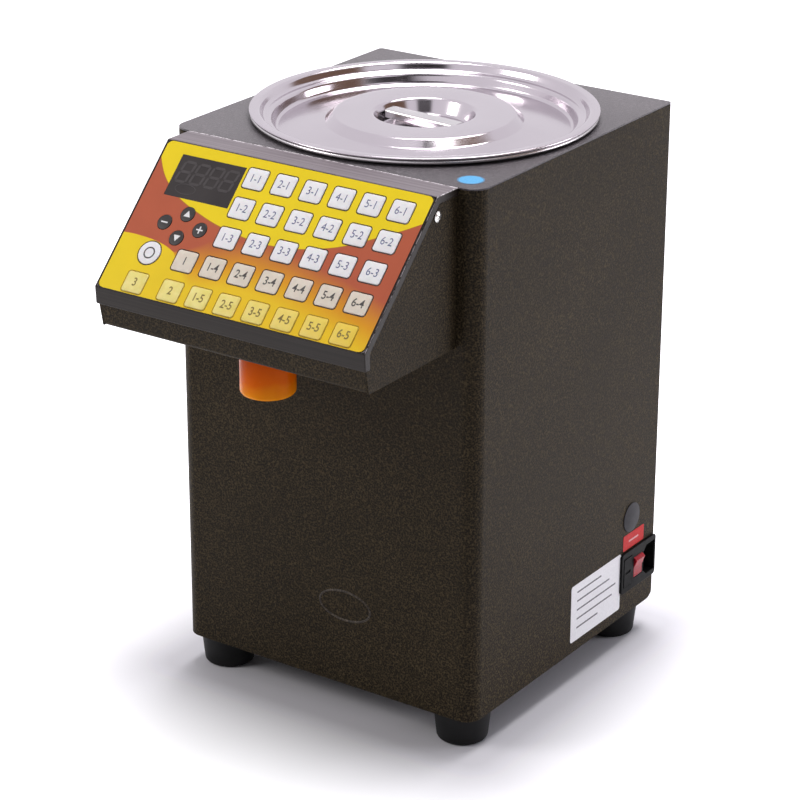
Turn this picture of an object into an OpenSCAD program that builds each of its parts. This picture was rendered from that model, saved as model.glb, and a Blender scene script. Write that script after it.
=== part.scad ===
// Counter dispenser for fructose syrup: a bent-sheet casing with a bucket let into its top, an
// overhanging head with a keypad, a nozzle under the head and a gear pump inside.
// Millimetres. X runs to the viewer's right, Y to the back, Z up. The origin is under the middle
// of the machine, on the surface that its feet stand on.

/* [Casing] */
// Width of the casing over its two sides
casing_w = 253; // [248:1:280]
// Depth of the casing from its front sheet to its back edges
casing_d = 252; // [250:1:280]
// Height of the casing without its feet
casing_h = 390; // [360:1:430]
// Thickness of all casing sheets
sheet = 1.2; // [0.8:0.1:1.5]
// Outer radius of the two upright front corners
front_corner_r = 12; // [8:1:20]
// Outer radius of the two upright back corners
back_corner_r = 3; // [3:0.5:5]
// Radius of the lower back corner of each side
bottom_corner_r = 10; // [6:1:14]
// Width of the inturned back edges of the sides
return_w = 14; // [13:1:18]
// Depth of the flanges of the top plate and the base plate
flange_h = 10; // [8:1:14]
// Height of the back flange of the base plate
base_back_h = 28; // [24:1:36]
// Play between two casing sheets that slide into each other
sheet_play = 0.1; // [0.05:0.05:0.2]

/* [Rear cover] */
// Distance of the cover's edges from the casing's outline
cover_inset = 3; // [2:0.5:4]
// Height of the cover's lower edge above the casing's bottom
cover_bottom = 14; // [12:1:20]
// Number of air slots, one above the other
vent_count = 9; // [4:1:14]
// Length of an air slot
vent_l = 76; // [40:1:90]
// Height of an air slot
vent_h = 3.2; // [2:0.1:3.6]
// Distance from one air slot to the next
vent_pitch = 9; // [7:0.5:12]
// Height of the lowest air slot above the casing's bottom
vent_z = 40; // [34:1:80]

/* [Head] */
// Depth of the flat strip between the keypad and the bucket
strip_d = 24; // [20:1:28]
// Slope of the keypad
panel_slope = 45.2; // [43:0.1:47]
// Height of the lip under the nose
lip_h = 12.6; // [10:0.2:15]
// How far the lip's lower edge lies behind the nose
lip_back = 0.8; // [0.4:0.1:2]
// Height of the head casing's front below the lip
head_below_lip = 16.9; // [12:0.1:20]
// How far the head's underside lies behind the nose
underside_back = 6; // [4:0.5:9]
// Thickness of the keypad frame's side band
band_t = 5.5; // [5:0.1:6]
// Wall of the keypad frame's sides and lip
frame_wall = 2.5; // [2:0.1:3]
// Thickness of the frame's plate behind the film
frame_plate_t = 2; // [1.6:0.1:2.4]
// How far the frame stands out over the head's sides
frame_overhang = 1; // [0.5:0.1:2]
// Width of the passage from the casing into the head
pass_w = 70; // [56:1:80]
// Height of the passage
pass_h = 40; // [30:1:44]
// Distance of the passage from the casing's left side
pass_side = 28; // [26:1:34]

/* [Keypad] */
// Width of the film beside the last column of keys
film_side = 11.2; // [8:0.1:12]
// Length of the film below the last row of keys
film_foot = 1.4; // [0.8:0.1:2]
// Distance of the film from the keypad's upper and lower edges
film_top = 0.5; // [0.5:0.1:1]
// Width of the frame beside the film
frame_border = 1.6; // [1.4:0.1:2]
// Corner radius of the film
film_r = 5; // [3:0.5:8]
// Thickness of the film
film_t = 1; // [0.8:0.1:1.2]
// Width of a square key
key_w = 16.5; // [14:0.1:17.4]
// Length of a square key down the slope
key_l = 15; // [13:0.1:16]
// Corner radius of a square key
key_r = 1.8; // [1.2:0.1:4]
// Place of the first column of keys
first_key_x = -27.5; // [-28.5:0.1:-26.5]
// Distance of the first row of keys from the keypad's top edge
first_key_s = 15.4; // [14.5:0.1:15.8]
// Distance from column to column
column_pitch = 23.45; // [22.4:0.05:23.8]
// Distance from row to row
row_pitch = 22.8; // [22.3:0.1:23]
// Place of the leftmost keys
side_key_x = -81; // [-82:0.5:-77]
// Diameter of the round light key
start_key_d = 17; // [14:0.5:18]
// Diameter of a round black key
round_key_d = 11; // [9:0.5:12]
// Distance of the left and right black keys from the middle of the cross
cross_dx = 14.9; // [14.5:0.1:16]
// Distance of the upper and lower black keys from the middle of the cross
cross_ds = 9.15; // [8.5:0.05:9.6]
// How far a key stands out of the film
key_proud = 0.3; // [0.1:0.05:0.5]
// Travel of a key
key_travel = 0.4; // [0.2:0.05:0.6]
// Gap round each key
key_gap = 0.25; // [0.2:0.05:0.35]
// Width of the rim that keeps a key under the film
key_rim = 0.8; // [0.6:0.1:1]
// Distance of the display window from the first column of keys
window_gap = 2.65; // [2.4:0.05:4]
// Width of the display window
window_w = 54.2; // [50:0.2:56]
// Length of the display window down the slope
window_l = 31.6; // [30:0.2:33]

/* [Bucket and lid] */
// Room between the bucket and the nearest sides of the casing
bucket_room = 11; // [11:0.5:15]
// How far the bucket's middle lies in front of the casing's middle
bucket_forward = 1.5; // [0:0.5:2]
// Depth of the syrup bucket
bucket_depth = 202; // [170:1:215]
// Thickness of the bucket's steel
bucket_wall = 0.8; // [0.6:0.1:1]
// Radius between the bucket's wall and floor
bucket_floor_r = 14; // [6:1:24]
// Diameter of the bucket's rolled bead
bead_d = 3; // [2.6:0.1:3.2]
// Thickness of the rubber ring under the bucket's rim
gasket_t = 1.2; // [1:0.1:1.6]
// Reach of the lid's rim beyond the bucket's wall
lid_overhang = 8; // [6.8:0.1:9]
// Thickness of the lid's steel
lid_t = 0.8; // [0.6:0.1:1]
// Height of the lid's rim above its seat on the bead
lid_rim_h = 1.5; // [1.2:0.1:2.4]
// Depth of the step that centres the lid in the bucket
lid_step_h = 6; // [4:0.5:8]
// Width of the ledge inside the lid
lid_ledge_w = 6; // [3:0.5:8]
// Depth of the lid's floor below its ledge
lid_floor_h = 8.6; // [6:0.1:10]
// Rise of the lid's floor from its edge to the middle boss
lid_crown = 4.8; // [2:0.1:5]
// Diameter of the raised middle boss
boss_d = 140; // [120:1:150]
// Height of the boss above the floor beside it
boss_h = 5.5; // [3:0.1:6]
// Diameter of the dimple under the handle
dimple_d = 72; // [70:1:90]
// Depth of the dimple
dimple_h = 11; // [10.6:0.1:16]
// Width of the dimple's sloping side
dimple_slope = 5; // [3:0.5:6]
// Width of the bar handle
handle_w = 12; // [9:0.5:16]
// Height of the bar handle
handle_h = 6; // [4:0.5:7]
// How far the handle's top lies under the top of the boss
handle_sink = 2.3; // [1:0.1:3]
// Turn of the bar handle on the lid
handle_turn = -5; // [-90:1:90]

/* [Nozzle] */
// Distance of the nozzle from the casing's front
nozzle_y = 61; // [45:1:66]
// Outer diameter of the nozzle cup
cup_d = 38.4; // [34:0.2:44]
// Height of the nozzle cup
cup_h = 36.4; // [30:0.2:40]
// Wall of the nozzle cup
cup_wall = 2.5; // [2:0.1:4]
// Radius of the nozzle cup's lower edge
cup_edge_r = 6.5; // [5:0.5:9]
// Diameter of the opening in the nozzle cup
cup_mouth_d = 25; // [20:0.5:26]
// Outer diameter of the spout tube and of all hose tails
tail_d = 10; // [8:0.5:11]
// Bore of the spout tube and of all hose tails
tail_bore = 7; // [4:0.5:7.5]
// How far the spout's end lies above the cup's lower edge
spout_lift = 10; // [6:0.5:14]
// Length of a hose tail
tail_l = 18; // [15:1:20]
// Thickness of a lock nut
nut_h = 5; // [4:0.5:6]

/* [Power inlet] */
// Distance of the inlet's flange from the casing's back
inlet_back = 1.5; // [1.5:0.5:12]
// Height of the inlet's middle above the casing's bottom
inlet_z = 36.5; // [34:0.5:60]
// Width of the flange's rim at the ends of the inlet
inlet_rim_w = 1.2; // [1:0.1:2]
// Height of the flange's rim above and below the inlet
inlet_rim_h = 3; // [2:0.1:4]
// Thickness of the inlet's flange
inlet_flange_t = 2; // [1.5:0.1:3]
// Depth of the inlet's body behind the flange
inlet_depth = 30; // [28:1:40]
// Width of the rocker
rocker_w = 12.4; // [11:0.1:12.8]
// Length of the rocker
rocker_l = 19; // [16:0.5:21]
// Tilt of the rocker to each side
rocker_tilt = 10; // [6:1:12]
// Width of the fuse drawer
drawer_w = 11; // [9:0.5:12]
// Height of the fuse drawer
drawer_h = 23; // [18:0.5:24]
// Diameter of the round plug's head
plug_d = 23; // [21:0.5:26]
// Diameter of the hole that the plug closes
plug_hole_d = 20; // [18:0.5:20]
// Distance of the plug from the casing's back
plug_back = 37; // [27:1:62]
// Height of the plug above the casing's bottom
plug_z = 79; // [76:1:110]

/* [Pump and motor] */
// Place of the pump's shaft across the casing
pump_x = -30; // [-36:1:-25]
// Distance of the pump's cover from the casing's front
pump_y = 48; // [44:1:56]
// Height of the pump's shaft above the casing's bottom
pump_z = 46; // [45:1:60]
// Number of teeth of each pump gear
gear_teeth = 12; // [12:4:16]
// Module of the pump gears
gear_module = 1.5; // [1.2:0.1:1.5]
// Thickness of the pump gears
gear_t = 12; // [11:0.5:16]
// Width of the pump's block
pump_w = 48; // [44:1:52]
// Thickness of the pump's cover
pump_cover_t = 8; // [7:0.5:9]
// Thickness of the wall behind the gears
pump_back_t = 8; // [7:0.5:10]
// Diameter of the drive shaft
shaft_d = 8; // [6:0.5:8]
// Diameter of the idler pin
pin_d = 6; // [5:0.5:8]
// Diameter of the motor
motor_d = 58; // [50:1:62]
// Length of the motor
motor_l = 85; // [70:1:100]
// Thickness of the motor bracket
bracket_t = 3; // [2:0.5:4]
// Outer diameter of the hoses
hose_d = 14.5; // [14:0.1:16]
// Radius of the hoses' bends
hose_bend = 22; // [18:1:24]
// Width of a hose clamp
clamp_w = 7; // [5:0.5:9]
// Thickness of a hose clamp's band
clamp_t = 1.2; // [0.8:0.1:2]
// Running clearance of shafts and gears, on the radius
running_gap = 0.06; // [0.04:0.01:0.1]

/* [Power supply] */
// Width of the power supply
supply_w = 66; // [50:1:68]
// Depth of the power supply
supply_d = 116; // [80:1:118]
// Height of the power supply
supply_h = 40; // [30:1:50]
// Distance of the power supply from the casing's right side
supply_side = 20; // [16:1:30]
// Room for wires between the power supply and the inlet
supply_gap = 14.5; // [14:0.5:20]

/* [Feet and screws] */
// Height of a foot
foot_h = 24; // [20:0.5:35]
// Diameter of a foot at its top
foot_top_d = 41.2; // [36:0.2:42]
// Diameter of a foot at its bottom
foot_bottom_d = 36.2; // [30:0.2:36.2]
// Distance of a foot's middle from the casing's side
foot_side = 22.6; // [22.6:0.2:30]
// Distance of the front feet from the casing's front
foot_front = 22.9; // [22:0.1:30]
// Distance of the back feet from the casing's back
foot_back = 25.4; // [25:0.2:40]
// Height of the recess for the screw in a foot
foot_recess_h = 17; // [12:0.5:17]
// Diameter of the recess for the screw in a foot
foot_recess_d = 14; // [10:0.5:18]
// Diameter of the screws' shanks
screw_d = 4; // [3:0.1:4.2]
// Length of the screws under their heads
screw_l = 12; // [11:0.5:12.5]
// Diameter of the screws' heads
screw_head_d = 7.5; // [6.5:0.1:8]
// Height of the screws' heads
screw_head_h = 2.2; // [1.6:0.1:2.4]

/* [Hidden] */
$fn = 64;
e = 0.5;
fit = 0.05;
hose_sides = 12;
columns = 6;
number_rows = 3;
function key_name(column, row) = str("key_", column + 1, "_", row + 1);
NUMBER_KEYS = [for (row = [0:number_rows - 1], column = [0:columns - 1]) key_name(column, row)];

// Colours
bronze = [0.20, 0.17, 0.14];
satin_black = [0.13, 0.12, 0.13];
steel = [0.80, 0.79, 0.79];
rubber_black = [0.07, 0.07, 0.07];
yellow = [0.93, 0.80, 0.12];
white = [0.93, 0.93, 0.91];
orange = [0.90, 0.45, 0.06];
red = [0.80, 0.10, 0.10];
green = [0.10, 0.35, 0.20];
brass = [0.78, 0.62, 0.30];
grey = [0.55, 0.56, 0.58];
clear_hose = [0.85, 0.85, 0.80];

// Places on the casing
inner_w = casing_w - 2 * (sheet + sheet_play);
bucket_d = min(casing_w, casing_d) - 2 * bucket_room;
bucket_y = casing_d / 2 - bucket_forward;
gasket_wall = 2;
hole_r = bucket_d / 2 + gasket_wall;
cover_w = casing_w - 2 * cover_inset;
cover_top = casing_h - cover_inset;

// Keypad, and the head that it sets the size of
last_row = 4;
last_key_x = first_key_x + (columns - 1) * column_pitch;
film_w = 2 * (last_key_x + key_w / 2 + film_side);
film_l = first_key_s + last_row * row_pitch + key_l / 2 + film_foot - film_top;
head_w = film_w + 2 * frame_border;
panel_l = film_l + 2 * film_top;
panel_run = panel_l * cos(panel_slope);
panel_drop = panel_l * sin(panel_slope);
head_reach = strip_d + panel_run;
head_h = panel_drop + lip_h + head_below_lip;
underside_reach = head_reach - underside_back;
front_y = (head_reach - casing_d - sheet - screw_head_h) / 2;
shell_w = head_w - 2 * frame_overhang;
head_screw_s = 9.4;
head_screw_depth = 9.6;
screw_edge = 8;
board_w = 190;
board_l = 102;
board_t = 1.6;
board_depth = film_t + 5;
board_s = first_key_s + last_row / 2 * row_pitch;
rest_lift = 0.2;
key_rim_t = 1;
key_depth = film_t + rest_lift + key_rim_t;
cross_x = side_key_x + cross_dx;
cross_s = first_key_s + 1.95 * row_pitch;
window_x = first_key_x - (key_w + window_w) / 2 - window_gap;
window_s = first_key_s + 9.1;
post_d = row_pitch - key_l - 2 * key_rim - 1.6;
post_left = side_key_x - 9;
post_right = last_key_x + 2.25;
post_places = [
    [post_right, first_key_s + row_pitch / 2],
    [post_right, first_key_s + 3.5 * row_pitch],
    [post_left, first_key_s + 1.4 * row_pitch],
    [post_left, first_key_s + 3.5 * row_pitch]
];
ROUND_KEYS = [[0, -cross_ds], [0, cross_ds], [-cross_dx, 0], [cross_dx, 0]];
number_cells = [for (row = [0:number_rows - 1], column = [0:columns - 1]) cell(column, row)];
function_cells = concat(
    [for (row = [number_rows:last_row], column = [-1:columns - 1]) cell(column, row)],
    [[side_key_x, cell(0, last_row)[1]]]
);
start_cell = [side_key_x, cell(0, number_rows)[1]];

// Heights of the lid, measured from the casing's top
rim_z = gasket_t + bucket_wall;
lid_d = bucket_d + 2 * lid_overhang;
bead_r = lid_d / 2 - 1.9;
seat_z = gasket_t + bead_d + 0.3;
lid_top = seat_z + lid_rim_h;
mouth_r = bucket_d / 2 - bucket_wall;
lid_play = 0.3;
step_r = mouth_r - lid_t - lid_play;
ledge_z = lid_top - lid_step_h;
ledge_r = step_r - lid_ledge_w;
floor_z = ledge_z - lid_floor_h;
boss_base_z = floor_z + lid_crown;
boss_z = boss_base_z + boss_h;
handle_l = dimple_d - 2 * dimple_slope;
bucket_bottom_z = rim_z - bucket_depth;

// Pump, measured back from the pump cover's face
pitch_r = gear_module * gear_teeth / 2;
tip_r = pitch_r + gear_module;
gear_centres = 2 * pitch_r + running_gap;
gear_play = 0.1;
body_face = pump_cover_t;
cavity_end = body_face + gear_t + 2 * gear_play;
pump_end = cavity_end + pump_back_t;
motor_face = pump_end + bracket_t;
pump_below = 20;
pump_above = gear_centres + pump_below;
shaft_in_motor = 18;
motor_cap = 6;
port_y = cavity_end - gear_t / 2 - gear_play;
port_end = pump_w / 2 + tail_l;
crossing_z = casing_h - head_h + sheet + nut_h + tail_l + hose_bend + 1;
pass_x = pass_side + pass_w / 2 - casing_w / 2;
blind = 4;
hose_r = hose_d / 2;
tail_r = tail_d / 2;
bracket_foot = 28;

// A key's place on the keypad: across, and down the slope from its top edge
function cell(column, row) = [
    first_key_x + column * column_pitch,
    first_key_s + row * row_pitch
];

// Points of a path with its corners rounded by a tangent length r
function unit(v) = v / norm(v);
function corner(a, p, b, r) = let (
        t = min(r, 0.45 * norm(p - a), 0.45 * norm(b - p)),
        from = p + t * unit(a - p),
        to = p + t * unit(b - p)
    )
    [for (k = [0:0.25:1]) (1 - k) * (1 - k) * from + 2 * k * (1 - k) * p + k * k * to];
function rounded(p, r) = [
    for (i = [0:len(p) - 1])
        each i == 0 || i == len(p) - 1 ? [p[i]] : corner(p[i - 1], p[i], p[i + 1], r)
];

// Outline of a sheet of thickness t that lies to the left of a path
function side_of(a, b) = let (d = unit(b - a)) [-d[1], d[0]];
function mitre(p, i) = let (
        before = side_of(p[max(i, 1) - 1], p[max(i, 1)]),
        after = side_of(p[min(i, len(p) - 2)], p[min(i, len(p) - 2) + 1])
    )
    (before + after) / (1 + before * after);
function bent_sheet(p, t) = concat(
    p,
    [for (i = [len(p) - 1:-1:0]) p[i] + t * mitre(p, i)]
);

// Frames of reference
module in_casing() translate([0, front_y, foot_h]) children();
module at_top() in_casing() translate([0, 0, casing_h]) children();
module on_bucket() at_top() translate([0, bucket_y, 0]) children();
module on_panel(x = 0, s = 0, z = 0) {
    at_top() translate([0, -strip_d, 0]) rotate([panel_slope, 0, 0]) translate([x, -s, z]) children();
}
module at_nozzle() at_top() translate([0, -nozzle_y, -head_h]) children();
module in_right_wall(y, z) {
    in_casing() translate([casing_w / 2, y, z]) rotate([90, 0, 90]) children();
}
module in_pump() in_casing() translate([pump_x, pump_y, pump_z]) rotate([-90, 0, 0]) children();
module across(w) translate([-w / 2, 0, 0]) rotate([90, 0, 90]) linear_extrude(w) children();
module both_sides() for (side = [-1, 1]) scale_x(side) children();
module scale_x(side) {
    if (side < 0) mirror([1, 0, 0]) children();
    else children();
}

// Flat shapes
module rounded_square(w, l, r) {
    square([w, l - 2 * r], center = true);
    square([w - 2 * r, l], center = true);
    for (x = [-1, 1], y = [-1, 1]) translate([x * (w / 2 - r), y * (l / 2 - r)]) circle(r);
}

module casing_plan(inset) {
    front_r = front_corner_r - inset;
    back_r = max(back_corner_r - inset, 0.2);
    half = casing_w / 2 - inset;
    translate([-half, inset + front_r]) square([2 * half, casing_d - 2 * inset - front_r - back_r]);
    translate([front_r - half, inset]) square([2 * (half - front_r), casing_d / 2]);
    translate([back_r - half, casing_d / 2]) square([2 * (half - back_r), casing_d / 2 - inset]);
    for (side = [-1, 1]) {
        translate([side * (half - front_r), inset + front_r]) circle(front_r);
        translate([side * (half - back_r), casing_d - inset - back_r]) circle(back_r);
    }
}

module side_outline(inset, height) {
    r = bottom_corner_r;
    translate([sheet + sheet_play + inset, inset]) square([casing_d - r - sheet - inset, r]);
    translate([sheet + sheet_play + inset, r])
        square([casing_d - sheet - sheet_play - 2 * inset, height - r]);
    translate([casing_d - r, r]) circle(r - inset);
}

// A key: a pad that stands in the film's window, over a rim that stays behind the film
module pad_stack() translate([0, 0, -key_depth]) linear_extrude(key_depth + key_proud) children();
module rim_stack() translate([0, 0, -key_depth]) linear_extrude(key_rim_t) children();

module square_key() {
    pad_stack() rounded_square(key_w, key_l, key_r);
    rim_stack() rounded_square(key_w + 2 * key_rim, key_l + 2 * key_rim, key_r + key_rim);
}

module round_key(d) {
    pad_stack() circle(d / 2);
    rim_stack() circle(d / 2 + key_rim);
}

// All windows for the keys, wider than the keys by grow on each side
module key_windows(grow) {
    for (c = concat(number_cells, function_cells)) translate([c[0], -c[1]])
        rounded_square(key_w + 2 * grow, key_l + 2 * grow, key_r + grow);
    for (k = ROUND_KEYS) translate([cross_x + k[0], -cross_s - k[1]]) circle(round_key_d / 2 + grow);
    translate([start_cell[0], -start_cell[1]]) circle(start_key_d / 2 + grow);
}

// A pan-head screw whose head sits on z = 0, its shank going down
module screw() {
    slot_w = 0.13 * screw_head_d;
    slot_l = 0.6 * screw_head_d;
    difference() {
        union() {
            translate([0, 0, -screw_l]) cylinder(h = screw_l, d = screw_d);
            rotate_extrude() intersection() {
                square([screw_head_d / 2, screw_head_h]);
                translate([0, screw_head_h - screw_head_d]) circle(screw_head_d, $fn = 128);
            }
        }
        for (turn = [0, 90]) rotate(turn) translate([-slot_l / 2, -slot_w / 2, screw_head_h / 2])
            cube([slot_l, slot_w, screw_head_h]);
    }
}

module screw_hole(depth = 20) {
    translate([0, 0, -depth]) cylinder(h = 2 * depth, d = screw_d + 2 * fit);
}

// The places of all screws, each with its head's outer direction as +Z
module cover_screws() {
    rows = 3;
    low = inlet_z + inlet_h / 2 + screw_head_d;
    high = cover_top - 2.5 * screw_head_d;
    edge_x = casing_w / 2 - return_w / 2;
    places = concat(
        [for (row = [0:rows - 1]) [edge_x, low + row * (high - low) / (rows - 1)]],
        [[0.6 * edge_x, (cover_bottom + base_back_h) / 2]]
    );
    for (side = [-1, 1], p = places)
        in_casing() translate([side * p[0], casing_d + sheet, p[1]]) rotate([-90, 0, 0]) children();
}

module feet_places() {
    for (side = [-1, 1], y = [foot_front, casing_d - foot_back])
        translate([side * (casing_w / 2 - foot_side), front_y + y, 0]) children();
}

module foot_screws() {
    feet_places() translate([0, 0, foot_recess_h]) rotate([180, 0, 0]) children();
}

module head_side_screws() {
    both_sides() on_panel(shell_w / 2, head_screw_s, -head_screw_depth) rotate([0, 90, 0]) children();
}

module head_back_screws() {
    from_top = 30;
    from_bottom = 26;
    for (side = [-1, 1], drop = [from_top, head_h - from_bottom])
        at_top() translate([side * (shell_w / 2 - screw_edge), -sheet, -drop])
            rotate([90, 0, 0]) children();
}

module pump_screws() {
    corner_room = 5;
    for (side = [-1, 1], y = [pump_below - corner_room, corner_room - pump_above])
        in_pump() translate([side * (pump_w / 2 - corner_room), y, 0]) rotate([180, 0, 0]) children();
}

module bracket_screws() {
    for (side = [-1, 1]) in_casing()
        translate([pump_x + side * 0.38 * motor_d, pump_y + motor_face + bracket_foot / 2, 0])
        rotate([180, 0, 0]) children();
}

module supply_screws() {
    end_room = 14;
    for (end = [-1, 1]) in_casing()
        translate([supply_x + supply_w / 2, supply_y + supply_d / 2 + end * (supply_d / 2 - end_room), 0])
        rotate([180, 0, 0]) children();
}

// A hose: rings of points set square on its route, whose corners are rounded by arcs
function arc(a, p, b) = let (
        u = unit(p - a),
        v = unit(b - p),
        turn = acos(u * v),
        n = unit(v - u * (u * v)),
        centre = p - u * hose_bend * tan(turn / 2) + n * hose_bend
    )
    [for (k = [0:0.2:1]) centre + hose_bend * (u * sin(k * turn) - n * cos(k * turn))];
function hose_path(route) = [
    for (i = [0:len(route) - 1])
        each i == 0 || i == len(route) - 1 ? [route[i]] : arc(route[i - 1], route[i], route[i + 1])
];
function tangents(path) = [
    for (i = [0:len(path) - 1]) unit(path[min(i + 1, len(path) - 1)] - path[max(i - 1, 0)])
];
function square_to(v, t) = unit(v - t * (v * t));
function ring_normals(t) = [
    for (i = 0, n = square_to([0.1, 0.2, 1], t[0]); i < len(t);
        i = i + 1, n = i < len(t) ? square_to(n, t[i]) : n) n
];
function rings(path, r) = let (t = tangents(path), n = ring_normals(t))
    [
        for (i = [0:len(path) - 1], j = [0:hose_sides - 1])
            let (a = 360 * j / hose_sides)
            path[i] + r * (n[i] * cos(a) + cross(t[i], n[i]) * sin(a))
    ];
function quad(a, b, c, d) = [[a, b, c], [a, c, d]];

module hose(route) {
    path = hose_path(route);
    m = hose_sides;
    last = (len(path) - 1) * m;
    inside = len(path) * m;
    polyhedron(
        points = concat(rings(path, hose_r), rings(path, (tail_r + fit) / cos(180 / m))),
        faces = [
            for (j = [0:m - 1]) let (k = (j + 1) % m)
                each concat(
                    [for (i = [0:m:last - m]) each quad(i + j, i + m + j, i + m + k, i + k)],
                    [for (i = [inside:m:inside + last - m]) each quad(i + k, i + m + k, i + m + j, i + j)],
                    quad(j, k, inside + k, inside + j),
                    quad(last + k, last + j, inside + last + j, inside + last + k)
                )
        ]
    );
}

// Ends and corners of the two hoses, in the casing's frame
port_z = pump_z + gear_centres / 2;
suction_x = pump_x + pump_w / 2 + tail_l + hose_bend + 6;
hose_end_gap = 2;
hose_nut_gap = 3;
suction_rise = 30;
suction_drop = 60;
suction_route = [
    [pump_x + pump_w / 2 + hose_end_gap, pump_y + port_y, port_z],
    [suction_x, pump_y + port_y, port_z],
    [suction_x, bucket_y, port_z + suction_rise],
    [0, bucket_y, casing_h + bucket_bottom_z - suction_drop],
    [0, bucket_y, casing_h + bucket_bottom_z - nut_h - hose_nut_gap]
];
riser_side = 28;
riser_x = riser_side - casing_w / 2;
riser_y = 20;
riser_start = 40;
delivery_route = [
    [pump_x - pump_w / 2 - hose_end_gap, pump_y + port_y, port_z],
    [riser_x, pump_y + port_y, port_z],
    [riser_x, riser_y, port_z + riser_start],
    [riser_x, riser_y, crossing_z],
    [0, -nozzle_y, crossing_z],
    [0, -nozzle_y, casing_h - head_h + sheet + nut_h + hose_nut_gap]
];

// Casing

module wrap_plan() difference() {
    casing_plan(0);
    casing_plan(sheet);
    translate([return_w - casing_w / 2, casing_d / 2]) square([casing_w - 2 * return_w, casing_d]);
}

module body_shell() color(bronze) difference() {
    in_casing() linear_extrude(casing_h - sheet) wrap_plan();
    // rounded lower back corners of the sides
    in_casing() across(2 * casing_w) difference() {
        translate([casing_d - bottom_corner_r, -e]) square(bottom_corner_r + e);
        translate([casing_d - bottom_corner_r, bottom_corner_r]) circle(bottom_corner_r);
    }
    // room for the base plate's bend between the sides
    in_casing() translate([sheet - casing_w / 2, casing_d - bottom_corner_r, -e])
        cube([casing_w - 2 * sheet, 2 * bottom_corner_r, bottom_corner_r + e + 2 * sheet_play]);
    // passage into the head
    in_casing() translate([pass_x - pass_w / 2, -e, crossing_z - pass_h / 2])
        cube([pass_w, sheet + 2 * e, pass_h]);
    in_right_wall(inlet_y, inlet_z) translate([0, 0, -sheet - e]) linear_extrude(sheet + 2 * e)
        square([inlet_body_w + 2 * fit, inlet_body_h + 2 * fit], center = true);
    in_right_wall(plug_y, plug_z) translate([0, 0, -sheet - e])
        cylinder(h = sheet + 2 * e, d = plug_hole_d);
    cover_screws() screw_hole();
    head_back_screws() screw_hole(5);
}

module top_plate() color(bronze) at_top() difference() {
    union() {
        translate([0, 0, -sheet]) linear_extrude(sheet) casing_plan(0);
        translate([0, 0, -flange_h]) linear_extrude(flange_h - sheet / 2) difference() {
            casing_plan(sheet + sheet_play);
            casing_plan(2 * sheet + sheet_play);
        }
    }
    translate([0, bucket_y, -flange_h - e]) cylinder(h = flange_h + 2 * e, r = hole_r, $fn = 128);
}

vent_gap = 16;

module rear_cover() color(bronze) difference() {
    in_casing() translate([-cover_w / 2, casing_d, cover_bottom])
        cube([cover_w, sheet, cover_top - cover_bottom]);
    for (side = [-1, 1], i = [0:vent_count - 1])
        in_casing() translate([side * (vent_l + vent_gap) / 2, casing_d - e, vent_z + i * vent_pitch])
            rotate([-90, 0, 0]) linear_extrude(sheet + 2 * e)
            rounded_square(vent_l, vent_h, vent_h / 2 - fit);
    cover_screws() screw_hole(8);
}

return_gap = 1;

module base_plate() color(bronze) difference() {
    in_casing() union() {
        intersection() {
            across(inner_w) difference() {
                side_outline(0, base_back_h);
                side_outline(sheet, base_back_h + e);
            }
            union() {
                translate([-casing_w / 2, 0, 0]) cube([casing_w, 2 * casing_d, bottom_corner_r]);
                translate([return_w + return_gap - casing_w / 2, casing_d / 2, 0])
                    cube([casing_w - 2 * (return_w + return_gap), casing_d, base_back_h]);
            }
        }
        for (side = [-1, 1]) translate([side * (inner_w - sheet) / 2, casing_d / 2, flange_h / 2])
            cube([sheet, casing_d - 2 * front_corner_r - 2 * bottom_corner_r, flange_h], center = true);
    }
    // the front corners are cut back to clear the casing's round ones
    in_casing() translate([0, 0, -e]) linear_extrude(base_back_h) difference() {
        translate([-casing_w, -e]) square([2 * casing_w, casing_d / 2]);
        casing_plan(sheet + sheet_play);
        translate([-casing_w, casing_d / 3]) square([2 * casing_w, casing_d]);
    }
    foot_screws() screw_hole();
    bracket_screws() screw_hole();
    supply_screws() screw_hole();
    cover_screws() screw_hole(8);
}

module rubber_feet() color(rubber_black) feet_places() difference() {
    rotate_extrude() polygon(concat(
        [[0, 0]],
        rounded([
            [foot_bottom_d / 4, 0],
            [foot_bottom_d / 2, 0],
            [foot_top_d / 2, foot_h],
            [0, foot_h]
        ], 3)
    ));
    translate([0, 0, -e]) cylinder(h = foot_recess_h + e, d = foot_recess_d);
    translate([0, 0, foot_recess_h]) screw_hole();
}

module casing_screws() color(steel) {
    cover_screws() screw();
    foot_screws() screw();
    head_side_screws() screw();
    head_back_screws() screw();
    pump_screws() screw();
    bracket_screws() screw();
    supply_screws() screw();
}

// Head

// Point on the keypad's slope, s down it and depth behind it, as [y, z] from the casing's top edge
function on_slope(s, depth) = [
    -strip_d - s * cos(panel_slope) + depth * sin(panel_slope),
    -s * sin(panel_slope) - depth * cos(panel_slope)
];
// The point of the slope's line at the given depth that has the height z, or the reach y
function slope_at_z(z, depth) = on_slope((-z - depth * cos(panel_slope)) / sin(panel_slope), depth);
function slope_at_y(y, depth) = on_slope(
    (-y - strip_d + depth * sin(panel_slope)) / cos(panel_slope), depth
);

lip_z = -panel_drop - lip_h;
lip_inner_y = band_t + lip_back - head_reach;
band_back = [
    slope_at_y(lip_inner_y, band_t),
    slope_at_z(-band_t, band_t),
    [0, -band_t]
];

window_rest = 2;
block_w = 6.8;
block_h = 8;
fold_r = 0.8;
window_r = 1;

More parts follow.
